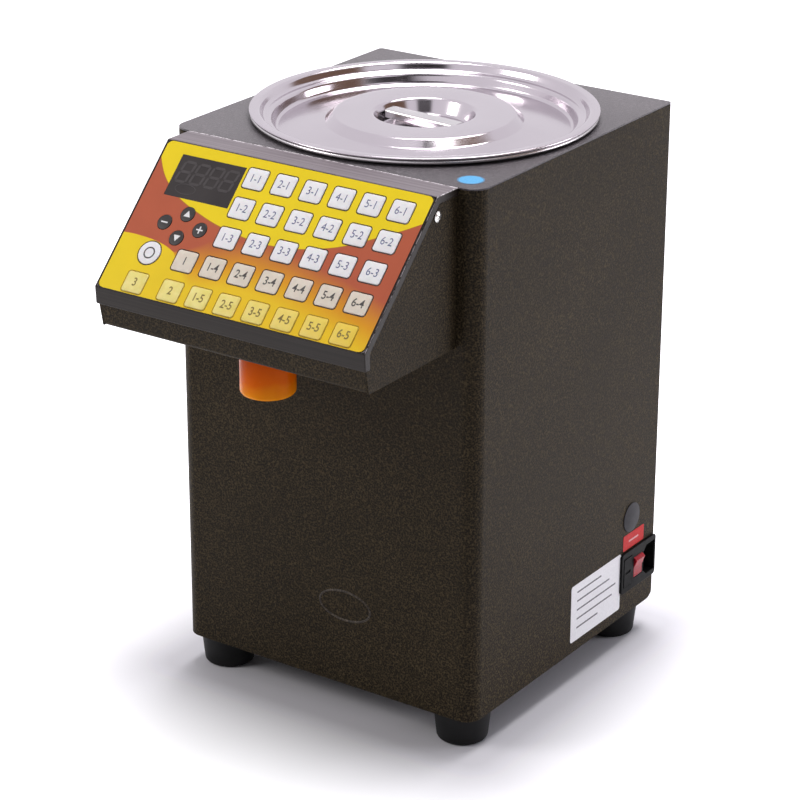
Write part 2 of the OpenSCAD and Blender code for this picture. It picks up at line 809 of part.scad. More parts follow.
module panel_frame() color(satin_black) difference() {
    union() {
        at_top() difference() {
            across(head_w) polygon(concat(
                rounded([[0, 0], [-strip_d, 0], [-head_reach, -panel_drop],
                    [lip_back - head_reach, lip_z]], fold_r),
                [[lip_inner_y, lip_z]],
                band_back
            ));
            across(head_w - 2 * frame_wall) polygon([
                [e, -frame_wall],
                slope_at_z(-frame_wall, film_t + frame_plate_t),
                slope_at_y(frame_wall + lip_back - head_reach, film_t + frame_plate_t),
                [frame_wall + lip_back - head_reach, 2 * lip_z],
                [e, 2 * lip_z]
            ]);
        }
        for (p = post_places) on_panel(p[0], p[1], -board_depth)
            cylinder(h = board_depth - film_t - e, d = post_d);
        both_sides() on_panel(shell_w / 2 - sheet - fit - block_w, head_screw_s, -head_screw_depth)
            translate([0, -block_h / 2, -block_h / 2]) cube([block_w, block_h, head_screw_depth]);
    }
    on_panel(0, film_top + film_l / 2, -film_t) linear_extrude(2 * film_t)
        rounded_square(film_w + 2 * fit, film_l + 2 * fit, film_r - 4 * fit);
    on_panel(0, 0, -film_t - frame_plate_t - e) linear_extrude(frame_plate_t + 2 * e)
        key_windows(key_rim + key_gap);
    on_panel(window_x, window_s, -film_t - frame_plate_t - e) linear_extrude(frame_plate_t + 2 * e)
        square([window_w - 2 * window_rest, window_l - 2 * window_rest], center = true);
    head_side_screws() screw_hole(screw_l + 1);
}

module keypad_film() color(yellow) difference() {
    on_panel(0, film_top + film_l / 2, -film_t) linear_extrude(film_t)
        rounded_square(film_w, film_l, film_r);
    on_panel(0, 0, -film_t - e) linear_extrude(film_t + 2 * e) {
        key_windows(key_gap);
        translate([window_x, -window_s]) square([window_w, window_l], center = true);
    }
}

module display_window() color([0.25, 0.23, 0.24]) {
    on_panel(window_x, window_s, -film_t) linear_extrude(film_t)
        rounded_square(window_w - 2 * fit, window_l - 2 * fit, window_r);
}

module display_module() color(rubber_black) {
    module_side = window_rest + 0.4;
    module_gap = 0.3;
    on_panel(window_x, window_s, -board_depth) linear_extrude(board_depth - film_t - module_gap)
        square([window_w - 2 * module_side, window_l - 2 * module_side], center = true);
}

module control_board() color(green) {
    plunger_gap = 0.1;
    plunger_d = 3.4;
    switch_w = 6;
    switch_h = 2.4;
    on_panel(0, board_s, -board_depth - board_t) linear_extrude(board_t)
        square([board_w, board_l], center = true);
    places = concat(
        number_cells, function_cells, [start_cell],
        [for (k = ROUND_KEYS) [cross_x + k[0], cross_s + k[1]]]
    );
    for (c = places) on_panel(c[0], c[1], -board_depth - e) {
        linear_extrude(switch_h + e) square(switch_w, center = true);
        cylinder(h = board_depth - key_depth - key_travel - plunger_gap + e, d = plunger_d);
    }
}

module function_keys() color(white) {
    for (c = function_cells) on_panel(c[0], c[1]) square_key();
    on_panel(start_cell[0], start_cell[1]) round_key(start_key_d);
}

module number_key(column, row) color(white) {
    on_panel(cell(column, row)[0], cell(column, row)[1]) square_key();
}

module cross_key(i) color(satin_black) {
    on_panel(cross_x + ROUND_KEYS[i][0], cross_s + ROUND_KEYS[i][1]) round_key(round_key_d);
}

module head_shell() color(bronze) difference() {
    lower_lip = [lip_inner_y - band_t + 2, lip_z - sheet / 4];
    lower_front = [-underside_reach, -head_h];
    union() {
        at_top() both_sides() translate([shell_w / 2 - sheet, 0, 0]) rotate([90, 0, 90])
            linear_extrude(sheet)
            polygon(concat([[lip_inner_y, lip_z]], band_back, [[0, -head_h], lower_front, lower_lip]));
        at_top() across(shell_w)
            polygon(bent_sheet(rounded([lower_lip, lower_front, [0, -head_h]], 3), sheet));
        // inturned back edges, against the casing's front
        at_top() both_sides() translate([shell_w / 2 - 2 * screw_edge, -sheet, -head_h])
            cube([2 * screw_edge, sheet, head_h - band_t]);
    }
    head_side_screws() screw_hole(5);
    head_back_screws() screw_hole(5);
    at_nozzle() translate([0, 0, -e]) cylinder(h = sheet + 2 * e, d = tail_d + 4 * fit);
}

// Bucket and lid

module bucket_section(r, z, floor_r) {
    square_h = rim_z - z;
    translate([0, z + floor_r]) square([r, square_h - floor_r]);
    translate([0, z]) square([r - floor_r, square_h]);
    translate([r - floor_r, z + floor_r]) circle(floor_r);
}

module syrup_bucket() color(steel) on_bucket() difference() {
    rotate_extrude($fn = 128) {
        difference() {
            intersection() {
                bucket_section(bucket_d / 2, bucket_bottom_z, bucket_floor_r);
                translate([0, bucket_bottom_z]) square(2 * bucket_depth);
            }
            translate([0, e]) square([mouth_r, bucket_wall + e]);
            bucket_section(mouth_r, bucket_bottom_z + bucket_wall, bucket_floor_r - bucket_wall);
        }
        translate([mouth_r, gasket_t]) square([bead_r - mouth_r, bucket_wall]);
        translate([bead_r, gasket_t + bead_d / 2]) circle(bead_d / 2);
    }
    translate([0, 0, bucket_bottom_z - e]) cylinder(h = bucket_wall + 2 * e, d = tail_d + 4 * fit);
}

module bucket_gasket() color(rubber_black) on_bucket() {
    inner_r = bucket_d / 2 + 0.3;
    outer_r = hole_r + 3;
    skirt_z = -sheet - 2;
    rotate_extrude($fn = 128) polygon([
        [inner_r, skirt_z],
        [hole_r - fit, skirt_z],
        [hole_r - fit, 0],
        [outer_r, 0],
        [outer_r, gasket_t],
        [inner_r, gasket_t]
    ]);
}

module bucket_lid() color(steel) on_bucket() {
    roll_r = 0.75;
    rim_r = lid_d / 2 - roll_r;
    dimple_r = dimple_d / 2;
    ledge_slope = 2;
    boss_slope = 6;
    bend = 2;
    rotate_extrude($fn = 128) {
        polygon(bent_sheet(rounded([
            [rim_r, lid_top],
            [step_r, lid_top],
            [step_r, ledge_z],
            [ledge_r, ledge_z],
            [ledge_r - ledge_slope, floor_z],
            [boss_d / 2, boss_base_z],
            [boss_d / 2 - boss_slope, boss_z],
            [dimple_r, boss_z],
            [dimple_r - dimple_slope, boss_z - dimple_h],
            [0, boss_z - dimple_h]
        ], bend), lid_t));
        translate([rim_r, lid_top - roll_r]) circle(roll_r);
    }
}

module lid_handle() color(steel) on_bucket() translate([0, 0, boss_z - handle_sink]) {
    rotate(handle_turn) across(handle_l) polygon(bent_sheet(rounded([
        [handle_w / 2, -handle_h],
        [handle_w / 2, 0],
        [-handle_w / 2, 0],
        [-handle_w / 2, -handle_h]
    ], 2.4), lid_t));
}

// Nozzle

module nozzle_cover() color(orange) at_nozzle() {
    r = cup_d / 2;
    inner = r - cup_wall;
    roof_t = 3;
    rotate_extrude() difference() {
        union() {
            translate([0, cup_edge_r - cup_h]) square([r, cup_h - cup_edge_r]);
            translate([0, -cup_h]) square([r - cup_edge_r, cup_edge_r + e]);
            translate([r - cup_edge_r, cup_edge_r - cup_h]) circle(cup_edge_r);
        }
        translate([0, cup_edge_r - cup_h]) square([inner, cup_h - cup_edge_r - roof_t]);
        translate([0, cup_wall - cup_h]) square([r - cup_edge_r, cup_edge_r]);
        translate([r - cup_edge_r, cup_edge_r - cup_h]) circle(cup_edge_r - cup_wall);
        translate([0, -cup_h - e]) square([cup_mouth_d / 2, cup_wall + 2 * e]);
        translate([0, -roof_t - e]) square([tail_d / 2 + fit, roof_t + 2 * e]);
    }
}

module nozzle_spout() color(steel) at_nozzle() {
    end_z = spout_lift - cup_h;
    collar_t = 3;
    difference() {
        union() {
            translate([0, 0, end_z]) cylinder(h = sheet + nut_h + tail_l - end_z, d = tail_d);
            translate([0, 0, -2 * collar_t]) cylinder(h = collar_t, d = 2 * tail_d);
        }
        translate([0, 0, end_z - e]) cylinder(h = cup_h + tail_l + 20, d = tail_bore);
    }
}

module lock_nut() difference() {
    cylinder(h = nut_h, d = 2 * tail_d, $fn = 6);
    translate([0, 0, -e]) cylinder(h = nut_h + 2 * e, d = tail_d + 2 * fit);
}

module lock_nuts() color(brass) {
    at_nozzle() translate([0, 0, sheet]) lock_nut();
    on_bucket() translate([0, 0, bucket_bottom_z - nut_h]) lock_nut();
}

module outlet_fitting() color(brass) on_bucket() translate([0, 0, bucket_bottom_z + bucket_wall]) {
    collar_t = 2;
    difference() {
        union() {
            translate([0, 0, -bucket_wall - nut_h - tail_l])
                cylinder(h = bucket_wall + nut_h + tail_l + collar_t, d = tail_d);
            cylinder(h = collar_t, d = 2.4 * tail_d);
        }
        translate([0, 0, -2 * tail_l - nut_h]) cylinder(h = 4 * tail_l, d = tail_bore);
    }
}

// Power inlet, drawn with its face towards +Z

socket_w = 16;
socket_l = 24;
socket_deep = 17;
socket_corner = 6;
socket_end_wall = 0.9;
socket_side_wall = 1.4;
rocker_gap = 0.2;
rocker_axis_z = -3;
rocker_face = 5;
trunnion_r = 1.5;
trunnion_l = 0.8;
drawer_deep = 22;
drawer_gap = 0.3;
drawer_end_wall = 2;
drawer_side_wall = 3.5;
drawer_shoulder = 2;
fuse_d = 5.4;
inlet_body_w = socket_end_wall + socket_w + socket_side_wall + rocker_w + 2 * rocker_gap
    + drawer_side_wall + drawer_w + drawer_end_wall;
inlet_body_h = socket_l + 3;
inlet_w = inlet_body_w + 2 * inlet_rim_w;
inlet_h = inlet_body_h + 2 * inlet_rim_h;
inlet_y = casing_d - inlet_back - inlet_w / 2;
plug_y = casing_d - plug_back;
socket_x = inlet_body_w / 2 - socket_w / 2 - socket_end_wall;
rocker_x = socket_x - socket_w / 2 - socket_side_wall - rocker_w / 2 - rocker_gap;
drawer_x = drawer_w / 2 + drawer_end_wall - inlet_body_w / 2;
blade_w = 4;
blade_t = 2;
blade_tail = 6;
blades = [[2, 7], [2, -7], [-2, 0]];

module socket_plan() difference() {
    square([socket_w, socket_l], center = true);
    for (end = [-1, 1]) translate([-socket_w / 2, end * socket_l / 2]) rotate(45)
        square(socket_corner, center = true);
}

module power_inlet() color(satin_black) in_right_wall(inlet_y, inlet_z) difference() {
    union() {
        linear_extrude(inlet_flange_t) rounded_square(inlet_w, inlet_h, 3);
        translate([0, 0, -inlet_depth]) linear_extrude(inlet_depth)
            square([inlet_body_w, inlet_body_h], center = true);
    }
    translate([socket_x, 0, inlet_flange_t - socket_deep]) linear_extrude(socket_deep + e) socket_plan();
    for (b = blades) translate([socket_x + b[0], b[1], -inlet_depth - e]) linear_extrude(inlet_depth)
        square([blade_w + 2 * fit, blade_t + 2 * fit], center = true);
    translate([rocker_x, 0, rocker_axis_z]) rotate([0, 90, 0]) {
        cylinder(h = rocker_w + 2 * rocker_gap, r = rocker_l / 2 + drawer_gap, center = true);
        cylinder(
            h = rocker_w + 2 * (rocker_gap + trunnion_l) + 4 * fit,
            r = trunnion_r + fit,
            center = true
        );
    }
    translate([drawer_x, 0, inlet_flange_t - drawer_deep]) linear_extrude(drawer_deep + e)
        square([drawer_w + 2 * drawer_gap, drawer_h + 2 * drawer_gap], center = true);
}

module inlet_pins() color(brass) in_right_wall(inlet_y, inlet_z) {
    for (b = blades) translate([socket_x + b[0], b[1], -inlet_depth - blade_tail])
        linear_extrude(inlet_depth + 1) square([blade_w, blade_t], center = true);
}

module rocker_switch() color(red) in_right_wall(inlet_y, inlet_z) {
    rise = rocker_l / 2 * tan(rocker_tilt);
    translate([rocker_x, 0, rocker_axis_z]) rotate([rocker_tilt, 0, 0]) {
        rotate([90, 0, 90]) linear_extrude(rocker_w, center = true) intersection() {
            circle(rocker_l / 2);
            polygon([
                [-rocker_l / 2, -rocker_l / 2], [rocker_l / 2, -rocker_l / 2],
                [rocker_l / 2, rocker_face + rise], [0, rocker_face],
                [-rocker_l / 2, rocker_face + rise]
            ]);
        }
        rotate([0, 90, 0])
            cylinder(h = rocker_w + 2 * (rocker_gap + trunnion_l), r = trunnion_r, center = true);
    }
}

module fuse_drawer() color(satin_black) in_right_wall(inlet_y, inlet_z) {
    fuse_l = drawer_h - 2 * drawer_shoulder;
    notch_deep = 0.8;
    notch_h = 2;
    translate([drawer_x, 0, inlet_flange_t - drawer_deep + drawer_gap]) difference() {
        linear_extrude(drawer_deep) square([drawer_w, drawer_h], center = true);
        // bed of the glass fuse, open to the drawer's inner end, and the notch for a fingernail
        translate([0, 0, fuse_d]) rotate([90, 0, 0]) cylinder(h = fuse_l, d = fuse_d, center = true);
        translate([0, 0, -e]) linear_extrude(fuse_d + e) square([fuse_d, fuse_l], center = true);
        translate([0, 0, drawer_deep - notch_deep]) linear_extrude(notch_deep + e)
            square([drawer_w - 2 * drawer_shoulder, notch_h], center = true);
    }
}

module hole_plug() color(rubber_black) in_right_wall(plug_y, plug_z) {
    head_t = 1.8;
    neck_l = 4;
    dome_r = 2.4 * plug_d;
    translate([0, 0, -neck_l]) cylinder(h = neck_l, d = plug_hole_d - 2 * fit);
    rotate_extrude() intersection() {
        square([plug_d / 2, head_t]);
        translate([0, head_t - dome_r]) circle(dome_r, $fn = 128);
    }
}

// Pump, motor, hoses and power supply

function gear_points() = let (
        root_r = pitch_r - 1.25 * gear_module,
        tooth = 360 / gear_teeth
    )
    [
        for (i = [0:gear_teeth - 1])
            each [
                for (c = [[root_r, -0.33], [pitch_r, -0.225], [tip_r, -0.1],
                    [tip_r, 0.1], [pitch_r, 0.225], [root_r, 0.33]])
                    c[0] * [cos((i + c[1]) * tooth), sin((i + c[1]) * tooth)]
            ]
    ];

module gear(bore, turn) translate([0, 0, body_face + gear_play]) rotate(turn) difference() {
    linear_extrude(gear_t) polygon(gear_points());
    translate([0, 0, -e]) cylinder(h = gear_t + 2 * e, d = bore);
}

module pump_block(from, to) translate([-pump_w / 2, -pump_above, from])
    cube([pump_w, pump_above + pump_below, to - from]);

module shaft_bores(from, to) {
    translate([0, 0, from]) cylinder(h = to - from, d = shaft_d + 2 * running_gap);
    translate([0, -gear_centres, from]) cylinder(h = to - from, d = pin_d + 2 * fit);
}

module pump_body() color(grey) difference() {
    in_pump() union() {
        pump_block(body_face, pump_end);
        for (side = [-1, 1]) translate([0, -gear_centres / 2, port_y]) rotate([0, 90 * side, 0])
            cylinder(h = port_end, d = tail_d);
    }
    in_pump() {
        for (y = [0, -gear_centres]) translate([0, y, body_face - e])
            cylinder(h = cavity_end - body_face + e, r = tip_r + running_gap);
        for (side = [-1, 1]) translate([0, -gear_centres / 2, port_y]) rotate([0, 90 * side, 0])
            cylinder(h = port_end + e, d = tail_bore);
        translate([0, 0, cavity_end - e]) cylinder(h = pump_back_t + 2 * e, d = shaft_d + 2 * running_gap);
        translate([0, -gear_centres, cavity_end - e]) cylinder(h = blind + e, d = pin_d + 2 * fit);
    }
    pump_screws() screw_hole(screw_l + 1);
}

module pump_cover() color(grey) difference() {
    in_pump() pump_block(0, body_face);
    in_pump() shaft_bores(body_face - blind, body_face + e);
    pump_screws() screw_hole();
}

module drive_gear() color(brass) in_pump() gear(shaft_d + 2 * fit, 90);

module driven_gear() color(brass) in_pump() translate([0, -gear_centres, 0])
    gear(pin_d + 2 * running_gap, 90 + 180 / gear_teeth);

module drive_shaft() color(steel) in_pump() translate([0, 0, body_face - blind + gear_play])
    cylinder(h = motor_face + shaft_in_motor - body_face + blind - gear_play, d = shaft_d);

module idler_pin() color(steel) in_pump() translate([0, -gear_centres, body_face - blind + gear_play])
    cylinder(h = cavity_end - body_face + 2 * (blind - gear_play), d = pin_d);

module pump_motor() color(grey) in_pump() difference() {
    union() {
        translate([0, 0, pump_end + gear_play]) cylinder(h = 2 * bracket_t, d = 2 * shaft_d);
        translate([0, 0, motor_face]) cylinder(h = motor_l, d = motor_d);
        translate([0, 0, motor_face + motor_l - e]) cylinder(h = motor_cap + e, d = 0.6 * motor_d);
    }
    translate([0, 0, pump_end - e])
        cylinder(h = bracket_t + shaft_in_motor + 2, d = shaft_d + 2 * running_gap);
}

module motor_bracket() color(grey) difference() {
    bracket_w = motor_d + 6;
    in_casing() translate([pump_x - bracket_w / 2, pump_y + pump_end, sheet]) {
        cube([bracket_w, bracket_t, pump_z + pump_above - sheet]);
        cube([bracket_w, bracket_t + bracket_foot, bracket_t]);
    }
    in_pump() translate([0, 0, pump_end - e]) cylinder(h = bracket_t + 2 * e, d = 2 * shaft_d + 2 * fit);
    bracket_screws() screw_hole();
}

module suction_hose() color(clear_hose) in_casing() hose(suction_route);

module delivery_hose() color(clear_hose) in_casing() hose(delivery_route);

module clamp() {
    ear_l = 6;
    ear_w = 8;
    difference() {
        union() {
            cylinder(h = clamp_w, r = hose_r + fit + clamp_t, center = true);
            translate([hose_r + clamp_t, 0, 0]) cube([ear_l, ear_w, clamp_w], center = true);
        }
        cylinder(h = clamp_w + 2 * e, r = hose_r + fit, center = true);
    }
}

module hose_clamps() color(steel) in_casing() {
    for (route = [suction_route, delivery_route], first = [true, false]) {
        a = first ? route[0] : route[len(route) - 1];
        b = first ? route[1] : route[len(route) - 2];
        u = unit(b - a);
        translate(a + u * (clamp_w / 2 + 2)) rotate([0, acos(u[2]), atan2(u[1], u[0])]) clamp();
    }
}

supply_x = casing_w / 2 - supply_side - supply_w;
supply_y = inlet_y - inlet_w / 2 - supply_gap - supply_d;
terminal_side = 6;
terminal_z = 8;
terminal_d = 7;
terminal_h = 14;
groove_count = 8;
groove_w = 4;
groove_deep = 1.5;
groove_side = 8;
groove_pitch = supply_d / 10.5;

module power_supply() color(steel) difference() {
    in_casing() translate([supply_x, supply_y, sheet]) {
        cube([supply_w, supply_d, supply_h]);
        translate([terminal_side, supply_d - e, terminal_z])
            cube([supply_w - 2 * terminal_side, terminal_d + e, terminal_h]);
    }
    for (i = [0:groove_count - 1]) in_casing()
        translate([supply_x + supply_w / 2, supply_y + (i + 1.6) * groove_pitch, sheet + supply_h])
        cube([supply_w - 2 * groove_side, groove_w, 2 * groove_deep], center = true);
    supply_screws() screw_hole(screw_l + 1);
}

body_shell();
top_plate();
rear_cover();
base_plate();
rubber_feet();
casing_screws();
head_shell();
panel_frame();
keypad_film();
display_window();
display_module();
control_board();
function_keys();
syrup_bucket();
bucket_gasket();
bucket_lid();
lid_handle();
nozzle_cover();
nozzle_spout();
lock_nuts();
outlet_fitting();
power_inlet();
inlet_pins();
rocker_switch();
fuse_drawer();
hole_plug();
suction_hose();
delivery_hose();
hose_clamps();
pump_body();
pump_cover();
drive_gear();
driven_gear();
drive_shaft();
idler_pin();
pump_motor();
motor_bracket();
power_supply();
cross_key(0);  // up_key
cross_key(1);  // down_key
cross_key(2);  // left_key
cross_key(3);  // right_key
for (row = [0:number_rows - 1], column = [0:columns - 1]) {
    number_key(column, row);
}
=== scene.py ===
import math

import bmesh
import bpy
from mathutils import Matrix, Vector
from mathutils.bvhtree import BVHTree


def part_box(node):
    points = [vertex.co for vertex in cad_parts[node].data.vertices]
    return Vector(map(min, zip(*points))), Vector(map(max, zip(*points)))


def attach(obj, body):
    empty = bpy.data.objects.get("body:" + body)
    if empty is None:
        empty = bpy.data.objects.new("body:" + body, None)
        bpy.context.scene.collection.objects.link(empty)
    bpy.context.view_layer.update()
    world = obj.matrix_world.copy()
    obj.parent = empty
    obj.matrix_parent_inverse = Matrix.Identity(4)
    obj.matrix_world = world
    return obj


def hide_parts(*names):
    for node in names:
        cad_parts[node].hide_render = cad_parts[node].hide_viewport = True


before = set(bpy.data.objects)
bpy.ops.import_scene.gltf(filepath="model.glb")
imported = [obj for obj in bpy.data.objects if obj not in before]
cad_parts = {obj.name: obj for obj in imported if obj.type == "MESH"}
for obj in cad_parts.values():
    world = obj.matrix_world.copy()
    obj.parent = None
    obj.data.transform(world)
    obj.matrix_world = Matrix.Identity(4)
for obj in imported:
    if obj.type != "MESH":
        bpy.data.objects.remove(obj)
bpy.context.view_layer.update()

scene = bpy.context.scene


# ---------------------------------------------------------------------------------------------
# The view and the studio
# A camera at the height and turn of the photograph, a white floor and backdrop, and soft lamps
# above, at the left front and behind at the right. The room is dim on the camera's own side.
view_turn = math.radians(34.471)
view_rise = math.radians(22.2706)
view_roll = math.radians(0.1758)
view_distance = 2.02144
view_target = Vector((0.01171, 0.0032, 0.21601))
lens_mm = 127.67

towards_camera = Vector((math.sin(view_turn), -math.cos(view_turn), 0))
back = towards_camera * math.cos(view_rise) + Vector((0, 0, math.sin(view_rise)))
level_right = Vector((math.cos(view_turn), math.sin(view_turn), 0))
level_up = back.cross(level_right)
camera_right = level_right * math.cos(view_roll) + level_up * math.sin(view_roll)
camera_up = level_up * math.cos(view_roll) - level_right * math.sin(view_roll)
camera_data = bpy.data.cameras.new("camera")
camera_data.lens = lens_mm
camera_data.sensor_width = 36
camera_data.clip_end = 40
camera = bpy.data.objects.new("camera", camera_data)
camera_turn = Matrix((camera_right, camera_up, back)).transposed().to_4x4()
camera.matrix_world = Matrix.Translation(view_target + back * view_distance) @ camera_turn
scene.collection.objects.link(camera)
scene.camera = camera
scene.view_settings.view_transform = "Standard"


def lamp(name, place, aim, size, watts, colour):
    """A soft square lamp at place that looks at aim."""
    data = bpy.data.lights.new(name, "AREA")
    data.shape = "SQUARE"
    data.size = size
    data.energy = watts
    data.color = colour
    made = bpy.data.objects.new(name, data)
    made.location = place
    made.rotation_mode = "QUATERNION"
    made.rotation_quaternion = (Vector(aim) - Vector(place)).to_track_quat("-Z", "Y")
    made.visible_camera = False
    scene.collection.objects.link(made)


lamp("overhead_lamp", (0.0, 0.45, 1.8), (0, 0, 0.25), 1.0, 26, (1.0, 0.99, 1.0))
lamp("front_lamp", (-1.5, -1.5, 1.5), (0, -0.1, 0.38), 0.9, 17, (1.0, 0.98, 0.96))
lamp("right_lamp", (1.75, 1.35, 0.40), (0, 0, 0.10), 0.9, 15, (0.93, 0.92, 1.0))


def add(tree, kind, inputs=None, **settings):
    """Adds a shader node, sets it, and fills its inputs with values or with other nodes' outputs."""
    made = tree.nodes.new("ShaderNode" + kind)
    for key, value in settings.items():
        setattr(made, key, value)
    for key, value in (inputs or {}).items():
        if isinstance(value, bpy.types.NodeSocket):
            tree.links.new(value, made.inputs[key])
        else:
            made.inputs[key].default_value = value
    return made


def maths(tree, operation, *values):
    """The output of a Math node."""
    return add(tree, "Math", dict(enumerate(values)), operation=operation).outputs[0]


def vector_maths(tree, operation, *values, output="Vector"):
    """An output of a Vector Math node."""
    return add(tree, "VectorMath", dict(enumerate(values)), operation=operation).outputs[output]


def along(tree, vector, direction):
    """How far a vector runs in a direction."""
    return vector_maths(tree, "DOT_PRODUCT", vector, tuple(direction), output="Value")


def scaled(tree, value, low, high, to_low=0.0, to_high=1.0):
    """A value from low to high, laid out from to_low to to_high and held at the ends."""
    return add(tree, "MapRange", {0: value, 1: low, 2: high, 3: to_low, 4: to_high}).outputs[0]


def between(tree, value, low, high, soft):
    """1 where the value lies between low and high, with soft ends."""
    rising = scaled(tree, value, low - soft, low + soft)
    falling = scaled(tree, value, high - soft, high + soft, 1.0, 0.0)
    return maths(tree, "MULTIPLY", rising, falling)


def blended(tree, share, first, second, kind="MIX"):
    """The colour of a Mix node between two colours or colour outputs."""
    colours = [c if isinstance(c, bpy.types.NodeSocket) else (*c, 1) for c in (first, second)]
    made = add(tree, "Mix", {0: share, 6: colours[0], 7: colours[1]}, data_type="RGBA", blend_type=kind)
    return made.outputs[2]


def seen_directly(tree):
    """1 for rays from the camera and for those that a mirror or a clear piece sends on."""
    path = add(tree, "LightPath").outputs
    mirrored = maths(tree, "MAXIMUM", path["Is Glossy Ray"], path["Is Transmission Ray"])
    return maths(tree, "MAXIMUM", path["Is Camera Ray"], mirrored)


white_wall = (0.97, 0.94, 0.99)
dark_wall = (0.030, 0.026, 0.028)
brown_wall = (0.21, 0.125, 0.085)
# where each wall runs as the steel shows it: (from this turn, to this turn, softness of its ends)
dark_low_turns = (-0.33, 0.33, 0.06)
dark_high_turns = (-0.12, 1.12, 0.10)
brown_low_turns = (0.84, 1.92, 0.06)
brown_high_turns = (1.12, 2.6, 0.10)
world = bpy.data.worlds.new("studio")
world.use_nodes = True
scene.world = world
tree = world.node_tree
tree.nodes.clear()
direction = add(tree, "TexCoord").outputs["Generated"]
facing_camera = along(tree, direction, towards_camera)
dimmed = scaled(tree, facing_camera, -0.2, 0.70, 0.56, 0.06)
ambient = add(tree, "Background", {"Color": (0.97, 0.96, 1.0, 1), "Strength": dimmed})
white = add(tree, "Background", {"Color": (1, 1, 1, 1), "Strength": 1.0})
# what polished steel shows of the room: a dark wall and a brown one behind the camera, whose
# upper parts lie further round
turn = maths(tree, "ARCTAN2", along(tree, direction, level_right), facing_camera)
height = along(tree, direction, (0, 0, 1))
low_part = scaled(tree, height, 0.60, 0.74, 1.0, 0.0)
high_part = scaled(tree, height, 0.70, 0.84)
dark_turn = maths(tree, "MULTIPLY_ADD", scaled(tree, height, 0.26, 0.36, 1.0, 0.0), -0.50, turn)
dark_low = maths(tree, "MULTIPLY", between(tree, dark_turn, *dark_low_turns), low_part)
dark_high = maths(tree, "MULTIPLY", between(tree, turn, *dark_high_turns), high_part)
brown_low = maths(tree, "MULTIPLY", between(tree, turn, *brown_low_turns), low_part)
brown_high = maths(tree, "MULTIPLY", between(tree, turn, *brown_high_turns), high_part)
room = blended(tree, maths(tree, "MAXIMUM", dark_low, dark_high), white_wall, dark_wall)
room = blended(tree, maths(tree, "MAXIMUM", brown_low, brown_high), room, brown_wall)
mirrored_room = add(tree, "Background", {"Color": room, "Strength": 1.0})
is_glossy = add(tree, "LightPath").outputs["Is Glossy Ray"]
shown = add(tree, "MixShader", {0: is_glossy, 1: white.outputs[0], 2: mirrored_room.outputs[0]})
whole = add(tree, "MixShader", {0: seen_directly(tree), 1: ambient.outputs[0], 2: shown.outputs[0]})
add(tree, "OutputWorld", {"Surface": whole.outputs[0]})

floor_half = 6.0
footprint_middle = (0.0, 0.051, 0.0)
footprint_half = (0.1265, 0.126, 0.0)
shadow_from = 0.012
shadow_to = 0.13
clear_glow = 0.80
floor_mesh = bpy.data.meshes.new("floor")
floor_corners = [(x * floor_half, y * floor_half, 0) for x, y in ((-1, -1), (1, -1), (1, 1), (-1, 1))]
floor_mesh.from_pydata(floor_corners, [], [(0, 1, 2, 3)])
floor = bpy.data.objects.new("floor", floor_mesh)
scene.collection.objects.link(floor)
floor_material = bpy.data.materials.new("floor_white")
floor_material.use_nodes = True
tree = floor_material.node_tree
tree.nodes.clear()
floor_lit = add(tree, "BsdfDiffuse", {"Color": (0.88, 0.865, 0.915, 1)})
# how far a point of the floor is from the casing's footprint: away from it the floor glows white
from_casing = vector_maths(tree, "SUBTRACT", add(tree, "TexCoord").outputs["Object"], footprint_middle)
from_casing = vector_maths(tree, "ABSOLUTE", from_casing)
from_casing = vector_maths(tree, "SUBTRACT", from_casing, footprint_half)
from_casing = vector_maths(tree, "MAXIMUM", from_casing, (0, 0, 0))
from_casing = vector_maths(tree, "LENGTH", from_casing, output="Value")
glow_level = scaled(tree, from_casing, shadow_from, shadow_to, 0.0, clear_glow)
floor_glow = add(tree, "Emission", {"Color": (1, 1, 1, 1), "Strength": glow_level})
floor_both = add(tree, "AddShader", {0: floor_lit.outputs[0], 1: floor_glow.outputs[0]})
floor_shader = {0: seen_directly(tree), 1: floor_lit.outputs[0], 2: floor_both.outputs[0]}
add(tree, "OutputMaterial", {"Surface": add(tree, "MixShader", floor_shader).outputs[0]})
floor_mesh.materials.append(floor_material)


# ---------------------------------------------------------------------------------------------
# Casing wrap
# The front and both sides are one sheet of steel bent round two upright corners, sprayed with a
# bronze-black hammered enamel. Its cut edges are eased by the paint.
enamel_dark = (0.0095, 0.0068, 0.0040)
enamel_gold = (0.094, 0.070, 0.038)
fleck_stops = (0.52, 0.70, 0.93)
dimple_scale = 860.0
spray_scale = 1250.0
paint_ease = 0.0003


def finish(name, **sockets):
    """A new material, its node tree and its main shader. Sockets are words with _ for spaces."""
    made = bpy.data.materials.new(name)
    made.use_nodes = True
    shader = made.node_tree.nodes["Principled BSDF"]
    for key, value in sockets.items():
        shader.inputs[key.replace("_", " ")].default_value = value
    return made, made.node_tree, shader


def ramp(tree, value, *stops):
    """The colour output of a ramp through (place, colour) stops."""
    made = add(tree, "ValToRGB", {"Fac": value})
    elements = made.color_ramp.elements
    while len(elements) < len(stops):
        elements.new(0.5)
    for element, (place, colour) in zip(elements, stops):
        element.position = place
        element.color = (*colour, 1)
    return made.outputs["Color"]


def grey(level):
    """A neutral grey."""
    return (level, level, level)


def bump(tree, shader, height, distance, strength=1.0):
    """Lets a height shade the surface as relief."""
    made = add(tree, "Bump", {"Height": height, "Distance": distance, "Strength": strength})
    tree.links.new(made.outputs["Normal"], shader.inputs["Normal"])


def coloured(tree, shader, colour):
    """Gives the main shader a colour output."""
    tree.links.new(colour, shader.inputs["Base Color"])


def object_place(tree):
    """Where a point of the piece is, in metres in the machine's own frame."""
    return add(tree, "TexCoord").outputs["Object"]


